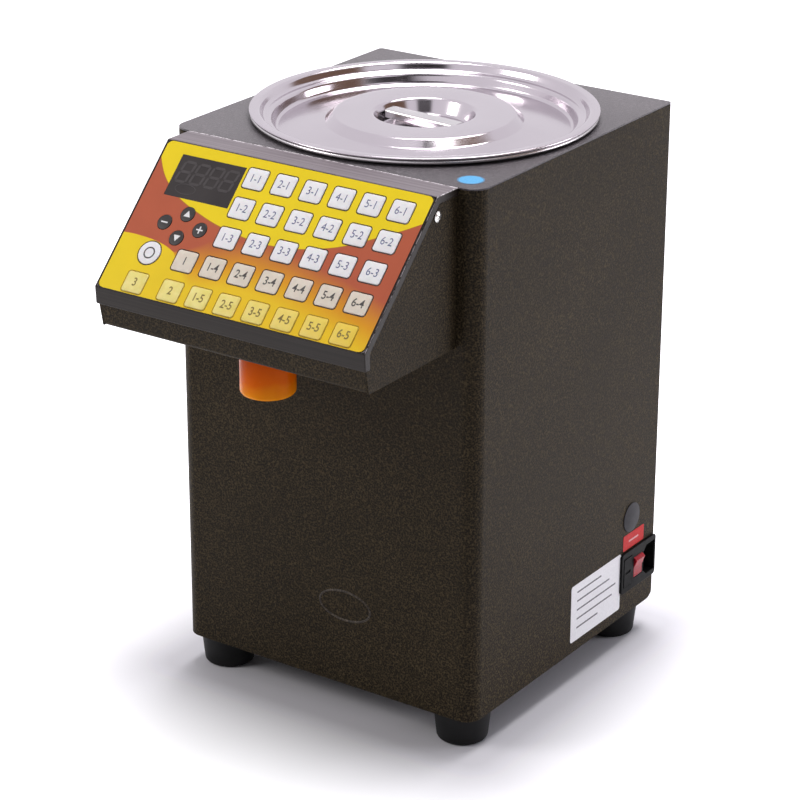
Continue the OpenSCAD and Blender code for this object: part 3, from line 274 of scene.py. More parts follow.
def noise(tree, place, scale, detail=3.0, rough=0.5):
    """A cloudy noise from 0 to 1."""
    inputs = {"Vector": place, "Scale": scale, "Detail": detail, "Roughness": rough}
    return add(tree, "TexNoise", inputs).outputs[0]


def hammered_enamel(name, dark, gold, gloss, shine, stops):
    """Hammered enamel: pale flecks between dark dimples, about 1.2 mm apart."""
    made, tree, shader = finish(name, Specular_IOR_Level=shine)
    place = object_place(tree)
    cells = add(tree, "TexVoronoi", {"Vector": place, "Scale": dimple_scale}, feature="SMOOTH_F1")
    fine = noise(tree, place, spray_scale, 3.0, 0.65)
    broad = noise(tree, place, 9.0)
    raised = maths(tree, "MULTIPLY_ADD", cells.outputs["Distance"], 0.75, maths(tree, "MULTIPLY", fine, 0.7))
    middle_tone = tuple(0.35 * g + 0.65 * d for g, d in zip(gold, dark))
    flecks = ramp(tree, raised, (stops[0], dark), (stops[1], middle_tone), (stops[2], gold))
    patches = ramp(tree, broad, (0.3, grey(0.78)), (0.7, grey(1.0)))
    coloured(tree, shader, blended(tree, 1.0, flecks, patches, "MULTIPLY"))
    tree.links.new(scaled(tree, raised, 0.3, 0.9, gloss, gloss + 0.2), shader.inputs["Roughness"])
    bump(tree, shader, raised, 0.0004, 0.5)
    return made


def welded_copy(node):
    """A bmesh of a CAD node's solids, welded, with its flat faces whole."""
    mesh = bmesh.new()
    mesh.from_mesh(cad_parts[node].data)
    bmesh.ops.remove_doubles(mesh, verts=mesh.verts, dist=2e-6)
    bmesh.ops.dissolve_limit(mesh, angle_limit=math.radians(0.6), verts=mesh.verts, edges=mesh.edges)
    return mesh


def shade_smooth(piece, angle=35):
    """Smooth shading but for edges sharper than angle."""
    for face in piece.data.polygons:
        face.use_smooth = True
    mesh = bmesh.new()
    mesh.from_mesh(piece.data)
    for edge in mesh.edges:
        edge.smooth = len(edge.link_faces) == 2 and edge.calc_face_angle(0) < math.radians(angle)
    mesh.to_mesh(piece.data)
    mesh.free()


def piece_from(mesh, name, materials, body):
    """Makes a bmesh into a piece that rides on a body."""
    data = bpy.data.meshes.new(name)
    bmesh.ops.recalc_face_normals(mesh, faces=mesh.faces)
    mesh.to_mesh(data)
    mesh.free()
    made = bpy.data.objects.new(name, data)
    scene.collection.objects.link(made)
    for material in materials:
        data.materials.append(material)
    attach(made, body)
    return made


def keep_flats_flat(piece):
    """Normals weighted by face area, so that shading turns only over the eased corners."""
    normals = [Vector() for _ in piece.data.vertices]
    for face in piece.data.polygons:
        for corner in face.vertices:
            normals[corner] += face.normal * face.area
    piece.data.normals_split_custom_set_from_vertices([normal.normalized() for normal in normals])


def eased(node, name, material, body, width, steps=2, sharp=38):
    """A piece made on a CAD node's own solid, its corners eased by width."""
    mesh = welded_copy(node)
    solid = BVHTree.FromBMesh(mesh)
    low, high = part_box(node)
    corners = []
    for edge in mesh.edges:
        if len(edge.link_faces) == 2 and edge.calc_face_angle(0) > math.radians(sharp):
            corners.append(edge)
    bmesh.ops.bevel(
        mesh, geom=corners, offset=width, offset_type="OFFSET", segments=steps, profile=0.5,
        affect="EDGES", clamp_overlap=False, harden_normals=False)
    for corner in mesh.verts:
        # a corner that the easing threw off the solid goes back to it
        nearest, _, _, away = solid.find_nearest(corner.co)
        if away > width:
            corner.co = nearest
        corner.co = [min(max(c, a), b) for c, a, b in zip(corner.co, low, high)]
    bmesh.ops.dissolve_degenerate(mesh, edges=mesh.edges, dist=1e-7)
    made = piece_from(mesh, name, [material], body)
    shade_smooth(made)
    keep_flats_flat(made)
    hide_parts(node)
    return made


enamel = hammered_enamel("hammered_enamel", enamel_dark, enamel_gold, 0.40, 0.07, fleck_stops)
eased("body_shell", "casing_wrap", enamel, "casing", paint_ease)


# ---------------------------------------------------------------------------------------------
# Top plate
# The same steel and enamel, but lying flat it took the spray thicker, so its hammer pattern has
# flowed out to a smoother gloss. Its colours are painted a lighter grey than the casing's: a painted
# reflection of the bright room above it.
# greys lighter than the casing's enamel: painted reflection of the bright room
top_painted_sheen_dark = (0.056, 0.048, 0.054)
top_painted_sheen_light = (0.150, 0.133, 0.145)
# its reflection is made weaker towards the front right: a painted fall-off of the light
top_enamel = hammered_enamel("top_enamel", top_painted_sheen_dark, top_painted_sheen_light, 0.30, 0.75, (0.45, 0.66, 0.90))
tree = top_enamel.node_tree
towards_front_right = along(tree, object_place(tree), (0.8, -0.6, 0))
painted_light_falloff = scaled(tree, towards_front_right, -0.07, 0.13, 0.66, 0.24)
tree.links.new(painted_light_falloff, tree.nodes["Principled BSDF"].inputs["Specular IOR Level"])
eased("top_plate", "top_plate_painted", top_enamel, "casing", paint_ease)


# ---------------------------------------------------------------------------------------------
# Rear cover and base plate
# Flat steel sheets in the casing's enamel: the cover has two columns of air slots and is screwed
# to the casing's inturned edges, the base plate carries the feet, the pump and the power supply.
sheet_ease = 0.0002
eased("rear_cover", "rear_cover_painted", enamel, "casing", sheet_ease)
eased("base_plate", "base_plate_painted", enamel, "casing", sheet_ease)


# ---------------------------------------------------------------------------------------------
# Head casing
# A U of bent sheet with two side plates welded in, in the casing's enamel, which hangs behind
# the keypad frame and carries the nozzle.
head_ease = 0.00025
eased("head_shell", "head_casing", enamel, "casing", head_ease)


# ---------------------------------------------------------------------------------------------
# Keypad frame
# One black plastic moulding: the flat strip along the top plate, the border round the keypad and
# the lip under its nose. Where it faces up, the strip is painted lighter grey as a painted reflection
# of the room, streaked along its length; its side edges and back seam are painted paler, partly as a
# painted edge highlight and partly as scuffs.
# a pale colour painted along the side edges and the back seam: partly a painted edge highlight, partly
# scuffs
pale_edge_highlight_and_scuffs = (0.72, 0.67, 0.70)
side_pale_band = (0.0008, 0.0003)
seam_pale_band = (0.0024, 0.0012)
frame_ease = 0.0007


def fine_grain(tree, shader, scale, distance, low, high):
    """Moulded plastic's fine grain: a noise on the surface and in its gloss."""
    place = object_place(tree)
    handled = noise(tree, place, 28.0)
    tree.links.new(scaled(tree, handled, 0.3, 0.7, low, high), shader.inputs["Roughness"])
    bump(tree, shader, noise(tree, place, scale, 4.0, 0.6), distance, 0.5)
    return place


frame_plastic, tree, shader = finish("frame_plastic", Specular_IOR_Level=0.22)
place = fine_grain(tree, shader, 1500.0, 0.00006, 0.30, 0.42)
stretched = add(tree, "Mapping", {"Vector": place, "Scale": (4.0, 900.0, 900.0)}).outputs[0]
drag = noise(tree, stretched, 1.0, 2.0)
black = ramp(tree, drag, (0.35, (0.013, 0.0092, 0.0070)), (0.65, (0.023, 0.0170, 0.0135)))
# where the frame faces up it is painted lighter grey: a painted reflection of the room at a grazing angle,
# streaked along its length
painted_top_sheen = ramp(tree, drag, (0.30, (0.110, 0.090, 0.100)), (0.70, (0.215, 0.182, 0.200)))
upward = along(tree, add(tree, "NewGeometry").outputs["Normal"], (0, 0, 1))
black_with_painted_sheen = blended(tree, scaled(tree, upward, 0.86, 0.97), black, painted_top_sheen)
frame_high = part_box("panel_frame")[1]
apart = add(tree, "SeparateXYZ", {0: place}).outputs
off_middle = maths(tree, "ABSOLUTE", apart["X"])
# paler along the side edges and the back seam, broken up by noise and kept off the nose: painted edge
# highlight with scuffs
pale_side_edge = scaled(tree, off_middle, frame_high.x - side_pale_band[0], frame_high.x - side_pale_band[1])
seam_line = scaled(tree, apart["Y"], frame_high.y - seam_pale_band[0], frame_high.y - seam_pale_band[1])
patchy = scaled(tree, noise(tree, place, 210.0, 4.0, 0.7), 0.42, 0.56)
pale_edges = maths(tree, "MULTIPLY", maths(tree, "MAXIMUM", pale_side_edge, seam_line), patchy)
above_nose = scaled(tree, upward, 0.30, 0.60)
pale_edges = maths(tree, "MULTIPLY", pale_edges, above_nose)
coloured(tree, shader, blended(tree, pale_edges, black_with_painted_sheen, pale_edge_highlight_and_scuffs))
eased("panel_frame", "keypad_frame", frame_plastic, "casing", frame_ease, 3)


# ---------------------------------------------------------------------------------------------
# Printed keypad film
# A polyester film laid in the frame's recess and printed from behind: yellow above, a broad
# terracotta wave under it, and a yellow foot into which the terracotta fades.

# places on the keypad are given as x across it and as s, how far down its slope from the top
slope_angle = math.radians(45.2)
slope_top = Vector((0, -0.09883, 0.414))
up_slope = Vector((0, math.cos(slope_angle), math.sin(slope_angle)))
off_slope = Vector((0, -math.sin(slope_angle), math.cos(slope_angle)))
on_slope = Matrix((Vector((1, 0, 0)), up_slope, off_slope)).transposed().to_4x4()
on_slope.translation = slope_top

yellow = (0.88, 0.66, 0.012)
terracotta = (0.47, 0.105, 0.050)
foot_orange = (0.74, 0.32, 0.012)
foot_yellow = (0.86, 0.56, 0.016)
line_brown = (0.42, 0.16, 0.02)
edge_black = (0.03, 0.02, 0.018)
film_w = 0.2184
film_span = 0.116
# the two edges of the wave, as shares of the film: (from the left, down from the top)
upper_points = (
    (0.0, 0.115), (0.1, 0.305), (0.24, 0.418), (0.40, 0.487), (0.53, 0.507), (0.72, 0.447), (0.88, 0.31),
    (1.0, 0.175))
lower_points = (
    (0.0, 0.632), (0.06, 0.629), (0.16, 0.65), (0.24, 0.70), (0.30, 0.72), (0.5, 0.665), (0.75, 0.73),
    (1.0, 0.84))
line_w = 0.0009
film_edge_w = 0.0005
film_ease = 0.00012


def curve_across(tree, across, points):
    """Height of a smooth curve over the film's width, both as shares from 0 to 1."""
    made = add(tree, "FloatCurve", {"Factor": 1.0, "Value": maths(tree, "ADD", across, 0.5)})
    line = made.mapping.curves[0].points
    while len(line) < len(points):
        line.new(0.5, 0.5)
    for point, (x, y) in zip(line, points):
        point.location = (x, y)
    made.mapping.update()
    return made.outputs[0]


film, tree, shader = finish("printed_film", Specular_IOR_Level=0.18)
place = object_place(tree)
apart = add(tree, "SeparateXYZ", {0: place}).outputs
across = maths(tree, "DIVIDE", apart["X"], film_w)
from_top = vector_maths(tree, "SUBTRACT", place, tuple(slope_top))
down = along(tree, from_top, -up_slope)
upper_wave = maths(tree, "MULTIPLY", curve_across(tree, across, upper_points), film_span)
lower_wave = maths(tree, "MULTIPLY", curve_across(tree, across, lower_points), film_span)
below_upper = maths(tree, "SUBTRACT", down, upper_wave)
below_lower = maths(tree, "SUBTRACT", down, lower_wave)
# the lower edge is crisp at the left and melts away from there to the right
fade_width = scaled(tree, across, -0.29, -0.18, 0.0005, 0.036)
fade = maths(tree, "DIVIDE", maths(tree, "MULTIPLY_ADD", fade_width, 0.5, below_lower), fade_width)
foot = ramp(tree, fade, (0.0, terracotta), (0.55, foot_orange), (1.0, foot_yellow))
lit_left = scaled(tree, across, -0.5, 0.0, 0.85, 0.0)
foot = blended(tree, maths(tree, "MULTIPLY", lit_left, scaled(tree, fade, 0.8, 1.0)), foot, yellow)
waves = blended(tree, scaled(tree, below_upper, 0.0, 0.0004), yellow, foot)
line_distance = maths(tree, "ABSOLUTE", maths(tree, "SUBTRACT", below_upper, line_w / 2))
on_line = scaled(tree, line_distance, line_w * 0.3, line_w * 0.7, 0.55, 0.0)
lined = blended(tree, on_line, waves, line_brown)
off_middle = maths(tree, "ABSOLUTE", apart["X"])
film_side = scaled(tree, off_middle, film_w / 2 - film_edge_w, film_w / 2 - film_edge_w / 2)
lined = blended(tree, film_side, lined, edge_black)
ink_shade = ramp(tree, noise(tree, place, 45.0, 5.0), (0.3, grey(0.94)), (0.7, grey(1.0)))
coloured(tree, shader, blended(tree, 1.0, lined, ink_shade, "MULTIPLY"))
tree.links.new(scaled(tree, noise(tree, place, 30.0), 0.3, 0.7, 0.32, 0.45), shader.inputs["Roughness"])
bump(tree, shader, noise(tree, place, 2200.0, 2.0), 0.00003, 0.4)
eased("keypad_film", "keypad_film_printed", film, "casing", film_ease)


# ---------------------------------------------------------------------------------------------
# Display window and its digits
# A smoked plastic window flush with the film. Four unlit digits of seven slanted bars each show
# faintly through it, with a plain oval lamp below them.
def clouded(name, dim, bright, grain, relief, gloss, clouds, detail=3.0, spread=(0.3, 0.7), **sockets):
    """A satin finish, clouded between two colours, with a fine grain and a gloss that varies."""
    made, tree, shader = finish(name, **sockets)
    place = fine_grain(tree, shader, grain, relief, *gloss)
    cloud = noise(tree, place, clouds, detail)
    coloured(tree, shader, ramp(tree, cloud, (spread[0], dim), (spread[1], bright)))
    return made


window_plastic = clouded(
    "smoked_window", (0.027, 0.022, 0.022), (0.034, 0.028, 0.028), grain=2500.0, relief=0.00002,
    gloss=(0.30, 0.38), clouds=60.0, Specular_IOR_Level=0.22)
window_ease = 0.00015
eased("display_window", "smoked_display_window", window_plastic, "casing", window_ease)

window_x = -0.0655
window_s = 0.0245
digit_w = 0.0088
digit_h = 0.0152
digit_pitch = 0.0122
digit_lean = 0.16
bar_w = 0.0019
bar_gap = 0.0004
digits_up = 0.0034
lamp_x = window_x - 0.0122
lamp_y = -window_s - 0.0089
lamp_outer = (0.0087, 0.0040)
lamp_inner = (0.0081, 0.0034)
print_sunk = -0.0003
print_step = 0.00008


def slope_piece(name, mesh, materials, body):
    """A piece drawn flat, x across and y up the keypad, laid on the keypad."""
    mesh.transform(on_slope)
    return piece_from(mesh, name, materials, body)


def skin(mesh, first, second, material=0):
    """The faces between two loops of as many corners."""
    for i in range(len(first)):
        j = (i + 1) % len(first)
        mesh.faces.new((first[i], first[j], second[j], second[i])).material_index = material


def flat_slab(mesh, outline, low, high, material=0):
    """A thin slab over a flat outline."""
    under = [mesh.verts.new((x, y, low)) for x, y in outline]
    over = [mesh.verts.new((x, y, high)) for x, y in outline]
    mesh.faces.new(over).material_index = material
    mesh.faces.new(list(reversed(under))).material_index = material
    skin(mesh, under, over, material)


def ring_slab(mesh, outline, inner, low, high, material=0):
    """A thin band between two outlines of as many points."""
    loops = []
    for line, z in ((outline, low), (outline, high), (inner, high), (inner, low)):
        loops.append([mesh.verts.new((x, y, z)) for x, y in line])
    for a, b in zip(loops, loops[1:] + loops[:1]):
        skin(mesh, a, b, material)


def bar_outline(x, y, length, width, upright):
    """A digit's bar with pointed ends."""
    half, side = length / 2, width / 2
    upper = [(-half, 0), (side - half, side), (half - side, side)]
    flat = upper + [(-a, -b) for a, b in upper]
    return [(x + (-b if upright else a), y + (a if upright else b)) for a, b in flat]


def oval_points(x, y, across, up, steps=48):
    """Points of an upright oval, anticlockwise."""
    turns = [math.tau * k / steps for k in range(steps)]
    return [(x + across * math.cos(turn), y + up * math.sin(turn)) for turn in turns]


segment_ink = clouded(
    "unlit_digits", (0.054, 0.047, 0.048), (0.068, 0.060, 0.061), grain=1800.0, relief=0.00002,
    gloss=(0.35, 0.45), clouds=90.0, Specular_IOR_Level=0.2)
half_w, half_h = digit_w / 2, digit_h / 2
bars = [(0, end * half_h, False) for end in (1, 0, -1)]
bars += [(side * half_w, end * half_h / 2, True) for side in (-1, 1) for end in (-1, 1)]
digits = bmesh.new()
for i in range(4):
    x0 = window_x + (i - 1.5) * digit_pitch
    y0 = digits_up - window_s
    for x, y, upright in bars:
        length = (half_h if upright else digit_w) - bar_gap
        outline = bar_outline(x, y, length, bar_w, upright)
        leaned = [(x0 + a + digit_lean * b, y0 + b) for a, b in outline]
        flat_slab(digits, leaned, print_sunk, print_step)
ring_slab(
    digits, oval_points(lamp_x, lamp_y, *lamp_outer), oval_points(lamp_x, lamp_y, *lamp_inner),
    print_sunk, print_step)
slope_piece("display_digits", digits, [segment_ink], "casing")


# ---------------------------------------------------------------------------------------------
# Number keys
# White plastic pads that stand a little proud in the film's windows, with a soft crowned edge
# and plain numbers in thin grey print: column, dash, row.
first_key_x = -0.0275
first_key_s = 0.0154
column_pitch = 0.02345
row_pitch = 0.0228
key_w = 0.0165
key_l = 0.0150
key_r = 0.0018
key_gap = 0.00025
key_proud = 0.0003
key_base = -0.0022
rim_w = 0.0008
rim_top = -0.0012
number_h = 0.0084
number_width = 0.86
number_lift = key_proud + 0.00008
thin_print = -0.00002
key_smooth = 30


def rounded_rectangle(x, y, w, l, r, steps=6):
    """Points of a rounded rectangle, anticlockwise."""
    points = []
    for quarter, (sx, sy) in enumerate(((1, 1), (-1, 1), (-1, -1), (1, -1))):
        cx, cy = x + sx * (w / 2 - r), y + sy * (l / 2 - r)
        for k in range(steps + 1):
            angle = math.radians(90 * quarter + 90 * k / steps)
            points.append((cx + r * math.cos(angle), cy + r * math.sin(angle)))
    return points


def pad(mesh, outline_at, levels, material=0):
    """A solid of stacked outlines: levels are (how far drawn in, height)."""
    loops = [[mesh.verts.new((x, y, z)) for x, y in outline_at(inset)] for inset, z in levels]
    mesh.faces.new(list(reversed(loops[0]))).material_index = material
    mesh.faces.new(loops[-1]).material_index = material
    for a, b in zip(loops, loops[1:]):
        skin(mesh, a, b, material)


# a rim behind the film, the stem, and a crowned top
key_levels = [
    (-rim_w, key_base), (-rim_w, rim_top), (0, rim_top), (0, key_proud - 0.00028),
    (0.00006, key_proud - 0.00014), (0.00018, key_proud - 0.00004), (0.0004, key_proud),
    (0.0045, key_proud + 0.00005)]


def square_pad(mesh, x, y, material=0):
    """A square key's pad."""
    def outline_at(inset):
        return rounded_rectangle(x, y, key_w - 2 * inset, key_l - 2 * inset, max(key_r - inset, 0.0003))
    pad(mesh, outline_at, key_levels, material)


def printed_number(mesh, words, x, y, material, bold):
    """A key's number as thin print, centred on a point."""
    curve = bpy.data.curves.new("print", "FONT")
    curve.body = words
    curve.size = number_h
    curve.align_x = "CENTER"
    curve.align_y = "CENTER"
    curve.extrude = 0.00002
    curve.offset = bold
    curve.resolution_u = 4
    letters = bpy.data.objects.new("print", curve)
    flat = bpy.data.meshes.new_from_object(letters)
    old_faces = len(mesh.faces)
    flat.transform(Matrix.Translation((x, y, number_lift)) @ Matrix.Diagonal((number_width, 1, 1, 1)))
    mesh.from_mesh(flat)
    mesh.faces.ensure_lookup_table()
    for face in mesh.faces[old_faces:]:
        face.material_index = material
    bpy.data.objects.remove(letters)
    bpy.data.curves.remove(curve)
    bpy.data.meshes.remove(flat)


def key_plastic(name, dim, bright):
    """Fine satin plastic, a little clouded from handling."""
    return clouded(
        name, dim, bright, grain=1700.0, relief=0.00003, gloss=(0.34, 0.46), clouds=180.0, detail=4.0,
        Subsurface_Weight=0.06, Subsurface_Scale=0.0015, Specular_IOR_Level=0.35)


def print_ink(name, dim, bright):
    """Flat screen-printed ink."""
    return clouded(
        name, dim, bright, grain=1200.0, relief=0.00001, gloss=(0.45, 0.6), clouds=700.0,
        spread=(0.35, 0.65), Specular_IOR_Level=0.2)


key_white = key_plastic("key_white", (0.80, 0.785, 0.80), (0.86, 0.85, 0.87))
number_ink = print_ink("number_ink", (0.085, 0.095, 0.20), (0.17, 0.18, 0.31))


def cell(column, row):
    """Middle of a key's place on the keypad."""
    return first_key_x + column * column_pitch, -first_key_s - row * row_pitch


for column in range(6):
    for row in range(3):
        node_name = f"key_{column + 1}_{row + 1}"
        x, y = cell(column, row)
        key = bmesh.new()
        square_pad(key, x, y)
        printed_number(key, f"{column + 1}-{row + 1}", x, y, 1, thin_print)
        made = slope_piece(node_name + "_pad", key, [key_white, number_ink], node_name)
        shade_smooth(made, key_smooth)
        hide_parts(node_name)


# ---------------------------------------------------------------------------------------------
# Light keys of the lower rows
# The same pads for the rows under the numbered ones, aged to cream and yellow towards the foot,
# and one round start key at their left. They are printed with plain numbers too.
side_key_x = -0.081
start_key_r = 0.0085
start_mark_r = 0.0044
start_mark_inner_r = 0.0034
bold_print = 0.00010
print_low = key_proud + 0.00004
print_high = key_proud + 0.00010
aged_straw = (0.84, 0.60, 0.065)
key_cream = key_plastic("key_cream", (0.68, 0.60, 0.50), (0.76, 0.68, 0.58))
key_straw = key_plastic("key_straw", (0.80, 0.68, 0.18), (0.88, 0.77, 0.28))
tree = key_straw.node_tree
aged = scaled(tree, add(tree, "SeparateXYZ", {0: object_place(tree)}).outputs["X"], -0.03, 0.10)
shader = tree.nodes["Principled BSDF"]
fresh = shader.inputs["Base Color"].links[0].from_socket
coloured(tree, shader, blended(tree, aged, fresh, aged_straw))
bold_ink = print_ink("bold_ink", (0.055, 0.05, 0.05), (0.14, 0.13, 0.12))
worn_ink = print_ink("worn_ink", (0.16, 0.12, 0.035), (0.32, 0.24, 0.07))
lower_finishes = [key_cream, bold_ink, key_straw, key_white, worn_ink]
cream, bold, straw, white_pad, worn = range(5)
# each key's place, its plastic and its number: a cream row, a straw row, and one more at its left
lower_cells = []
for row, tone in ((3, cream), (4, straw)):
    lower_cells.append((*cell(-1, row), tone, str(row - 2)))
    for column in range(6):
        lower_cells.append((*cell(column, row), tone, f"{column + 1}-{row + 1}"))
lower_cells.append((side_key_x, cell(0, 4)[1], straw, "3"))
lower_keys = bmesh.new()
for x, y, tone, words in lower_cells:
    square_pad(lower_keys, x, y, tone)
    printed_number(lower_keys, words, x, y, worn if tone == straw else bold, bold_print)
start_x, start_y = side_key_x, cell(0, 3)[1]


def circle_points(x, y, r):
    """Points of a circle, anticlockwise."""
    return oval_points(x, y, r, r)


def round_pad(mesh, x, y, r, material=0):
    """A round key's pad."""
    def outline_at(inset):
        return circle_points(x, y, r - inset)
    pad(mesh, outline_at, key_levels, material)


round_pad(lower_keys, start_x, start_y, start_key_r, white_pad)
ring_slab(
    lower_keys, circle_points(start_x, start_y, start_mark_r),
    circle_points(start_x, start_y, start_mark_inner_r), print_low, print_high, bold)
made = slope_piece("lower_row_keys", lower_keys, lower_finishes, "casing")
shade_smooth(made, key_smooth)
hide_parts("function_keys")

# the printed border that shows round each key
outline_ink = print_ink("outline_ink", (0.020, 0.013, 0.010), (0.045, 0.030, 0.022))
faint_ink = print_ink("faint_ink", (0.36, 0.22, 0.010), (0.50, 0.32, 0.016))
border_outer = key_gap + 0.00060
border_inner = key_gap + 0.00002
border_low = -0.0002
border_high = 0.00004


def grown_key(x, y, grown):
    """A square key's outline, grown by so much."""
    return rounded_rectangle(x, y, key_w + 2 * grown, key_l + 2 * grown, key_r + grown)


borders = bmesh.new()
bordered = [(*cell(column, row), 0) for row in range(3) for column in range(6)]
bordered += [(x, y, 1 if tone == straw else 0) for x, y, tone, words in lower_cells]
for x, y, ink in bordered:
    ring_slab(
        borders, grown_key(x, y, border_outer), grown_key(x, y, border_inner), border_low, border_high, ink)
ring_slab(
    borders, circle_points(start_x, start_y, start_key_r + border_outer),
    circle_points(start_x, start_y, start_key_r + border_inner), border_low, border_high)
slope_piece("key_borders", borders, [outline_ink, faint_ink], "casing")


# ---------------------------------------------------------------------------------------------
# Black keys
# Four round black pads in a cross: arrowheads on the upper and lower one, a minus and a plus on
# the left and right one, all printed white.
key_black = key_plastic("key_black", (0.018, 0.014, 0.014), (0.026, 0.021, 0.021))
white_ink = print_ink("white_ink", (0.76, 0.75, 0.76), (0.84, 0.83, 0.84))
round_key_r = 0.0055
cross_dx = 0.0149
cross_ds = 0.00915
cross_x = -0.0661
cross_y = -0.05986
arrow = 0.0027
stroke_half = 0.0005
black_keys = (
    ("up_key", 0, cross_ds), ("down_key", 0, -cross_ds), ("left_key", -cross_dx, 0),
    ("right_key", cross_dx, 0))


def oblong(left, low, right, high):
    """Corners of an upright oblong, anticlockwise."""
    return [(left, low), (right, low), (right, high), (left, high)]


def stroke(mesh, x, y, half_x, half_y):
    """A printed stroke about a point."""
    outline = oblong(x - half_x, y - half_y, x + half_x, y + half_y)
    flat_slab(mesh, outline, print_low, print_high, 1)


for node_name, dx, dy in black_keys:
    x, y = cross_x + dx, cross_y + dy
    key = bmesh.new()
    round_pad(key, x, y, round_key_r)
    if dy:
        tip = math.copysign(arrow, dy)
        foot_y = y - tip * 0.75
        flat_slab(key, [(x - arrow, foot_y), (x + arrow, foot_y), (x, y + tip)], print_low, print_high, 1)
    else:
        stroke(key, x, y, arrow, stroke_half)
    if dx > 0:
        for side in (-1, 1):
            stroke_y = y + side * (arrow + stroke_half) / 2
            stroke(key, x, stroke_y, stroke_half, (arrow - stroke_half) / 2)
    made = slope_piece(node_name + "_pad", key, [key_black, white_ink], node_name)
    shade_smooth(made, key_smooth)
    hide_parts(node_name)


# ---------------------------------------------------------------------------------------------
# Lid of the syrup bucket
# Pressed from one disc of stainless steel and polished: a flat rolled rim, a step that drops
# into the bucket, a crowned floor, a raised boss and the dimple under the handle.
casing_top = 0.414
bucket_y = 0.04967
lid_t = 0.0008
lid_rim_r = 0.12225
lid_rim_z = 0.0060
lid_corner_r = 0.0030
roll_r = 0.00075
roll_steps = 10
# the lid's section from its rim to its middle, as (radius, height over the top plate)
lid_section = (
    (lid_rim_r, lid_rim_z), (0.1156, lid_rim_z), (0.1131, 0.0), (0.1071, 0.0), (0.1051, -0.0086),
    (0.070, -0.0038), (0.064, 0.0017), (0.036, 0.0017), (0.031, -0.0093), (0.0, -0.0093))


def filleted(points, radius, steps=7):
    """A path with each inner corner turned by an arc of the radius, or less where room is short."""
    made = [Vector(points[0])]
    for before, corner, after in zip(points, points[1:], points[2:]):
        a, p, b = Vector(before), Vector(corner), Vector(after)
        u, v = (a - p).normalized(), (b - p).normalized()
        half = u.angle(v) / 2
        if half > math.radians(89):
            made.append(p)
            continue
        reach = min(radius / math.tan(half), 0.48 * (a - p).length, 0.48 * (b - p).length)
        centre = p + (u + v).normalized() * (reach / math.cos(half))
        start, end = p + u * reach - centre, p + v * reach - centre
        sweep = start.angle_signed(end)
        for k in range(steps + 1):
            made.append(centre + Matrix.Rotation(-sweep * k / steps, 2) @ start)
    made.append(Vector(points[-1]))
    return made


def thickened(path, t):
    """The closed outline of a sheet of thickness t under a path."""
    under = []
    for i, p in enumerate(path):
        before = (p - path[i - 1]).normalized() if i else (path[1] - p).normalized()
        after = (path[i + 1] - p).normalized() if i + 1 < len(path) else before
        mean = (before + after).normalized()
        side = Vector((-mean.y, mean.x))
        under.append(p + side * (t / max(side.dot(Vector((-after.y, after.x))), 0.3)))
    return list(path) + list(reversed(under))


def lathe(outline, centre, steps=192):
    """A solid turned from a closed outline of (radius, height) points about an upright axis."""
    mesh = bmesh.new()
    x, y, base = centre
    rings = []
    for k in range(steps):
        c, s = math.cos(math.tau * k / steps), math.sin(math.tau * k / steps)
        rings.append([mesh.verts.new((x + r * c, y + r * s, base + z)) for r, z in outline])
    for a, b in zip(rings, rings[1:] + rings[:1]):
        for i in range(len(outline)):
            j = (i + 1) % len(outline)
            mesh.faces.new((a[i], b[i], b[j], a[j]))
    bmesh.ops.remove_doubles(mesh, verts=mesh.verts, dist=1e-6)
    bmesh.ops.dissolve_degenerate(mesh, edges=mesh.edges, dist=1e-7)
    return mesh


def spun_steel(name, base, low, high, mark_scale, mark_depth):
    """Polished stainless steel with faint ring marks round the bucket's axis and wiped patches."""
    made, tree, shader = finish(name, Metallic=1.0)
    place = object_place(tree)
    flat = vector_maths(tree, "MULTIPLY", place, (1, 1, 0))
    radius = vector_maths(tree, "DISTANCE", flat, (0, bucket_y, 0), output="Value")
    rings = add(tree, "TexNoise", {"W": radius, "Scale": mark_scale, "Detail": 3.0}, noise_dimensions="1D")
    wiped = noise(tree, place, 22.0, 5.0, 0.55)
    tree.links.new(scaled(tree, wiped, 0.3, 0.7, low, high), shader.inputs["Roughness"])
    coloured(tree, shader, ramp(tree, wiped, (0.3, tuple(0.95 * c for c in base)), (0.7, base)))
    bump(tree, shader, rings.outputs[0], mark_depth, 0.35)
    return made


lid_steel = spun_steel("lid_steel", (0.600, 0.555, 0.595), 0.12, 0.19, 1600.0, 0.000010)
roll = []
for k in range(roll_steps, 0, -1):
    turn = math.pi * k / roll_steps
    roll.append((lid_rim_r + roll_r * math.sin(turn), lid_rim_z - roll_r + roll_r * math.cos(turn)))
# the roll takes the place of the sheet's cut edge
lid_outline = thickened(filleted(lid_section, lid_corner_r), lid_t)[:-1] + roll
bucket_axis = (0, bucket_y, casing_top)
lid_mesh = lathe(lid_outline, bucket_axis)
lid = piece_from(lid_mesh, "polished_lid", [lid_steel], "lid")
shade_smooth(lid, 40)
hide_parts("bucket_lid")


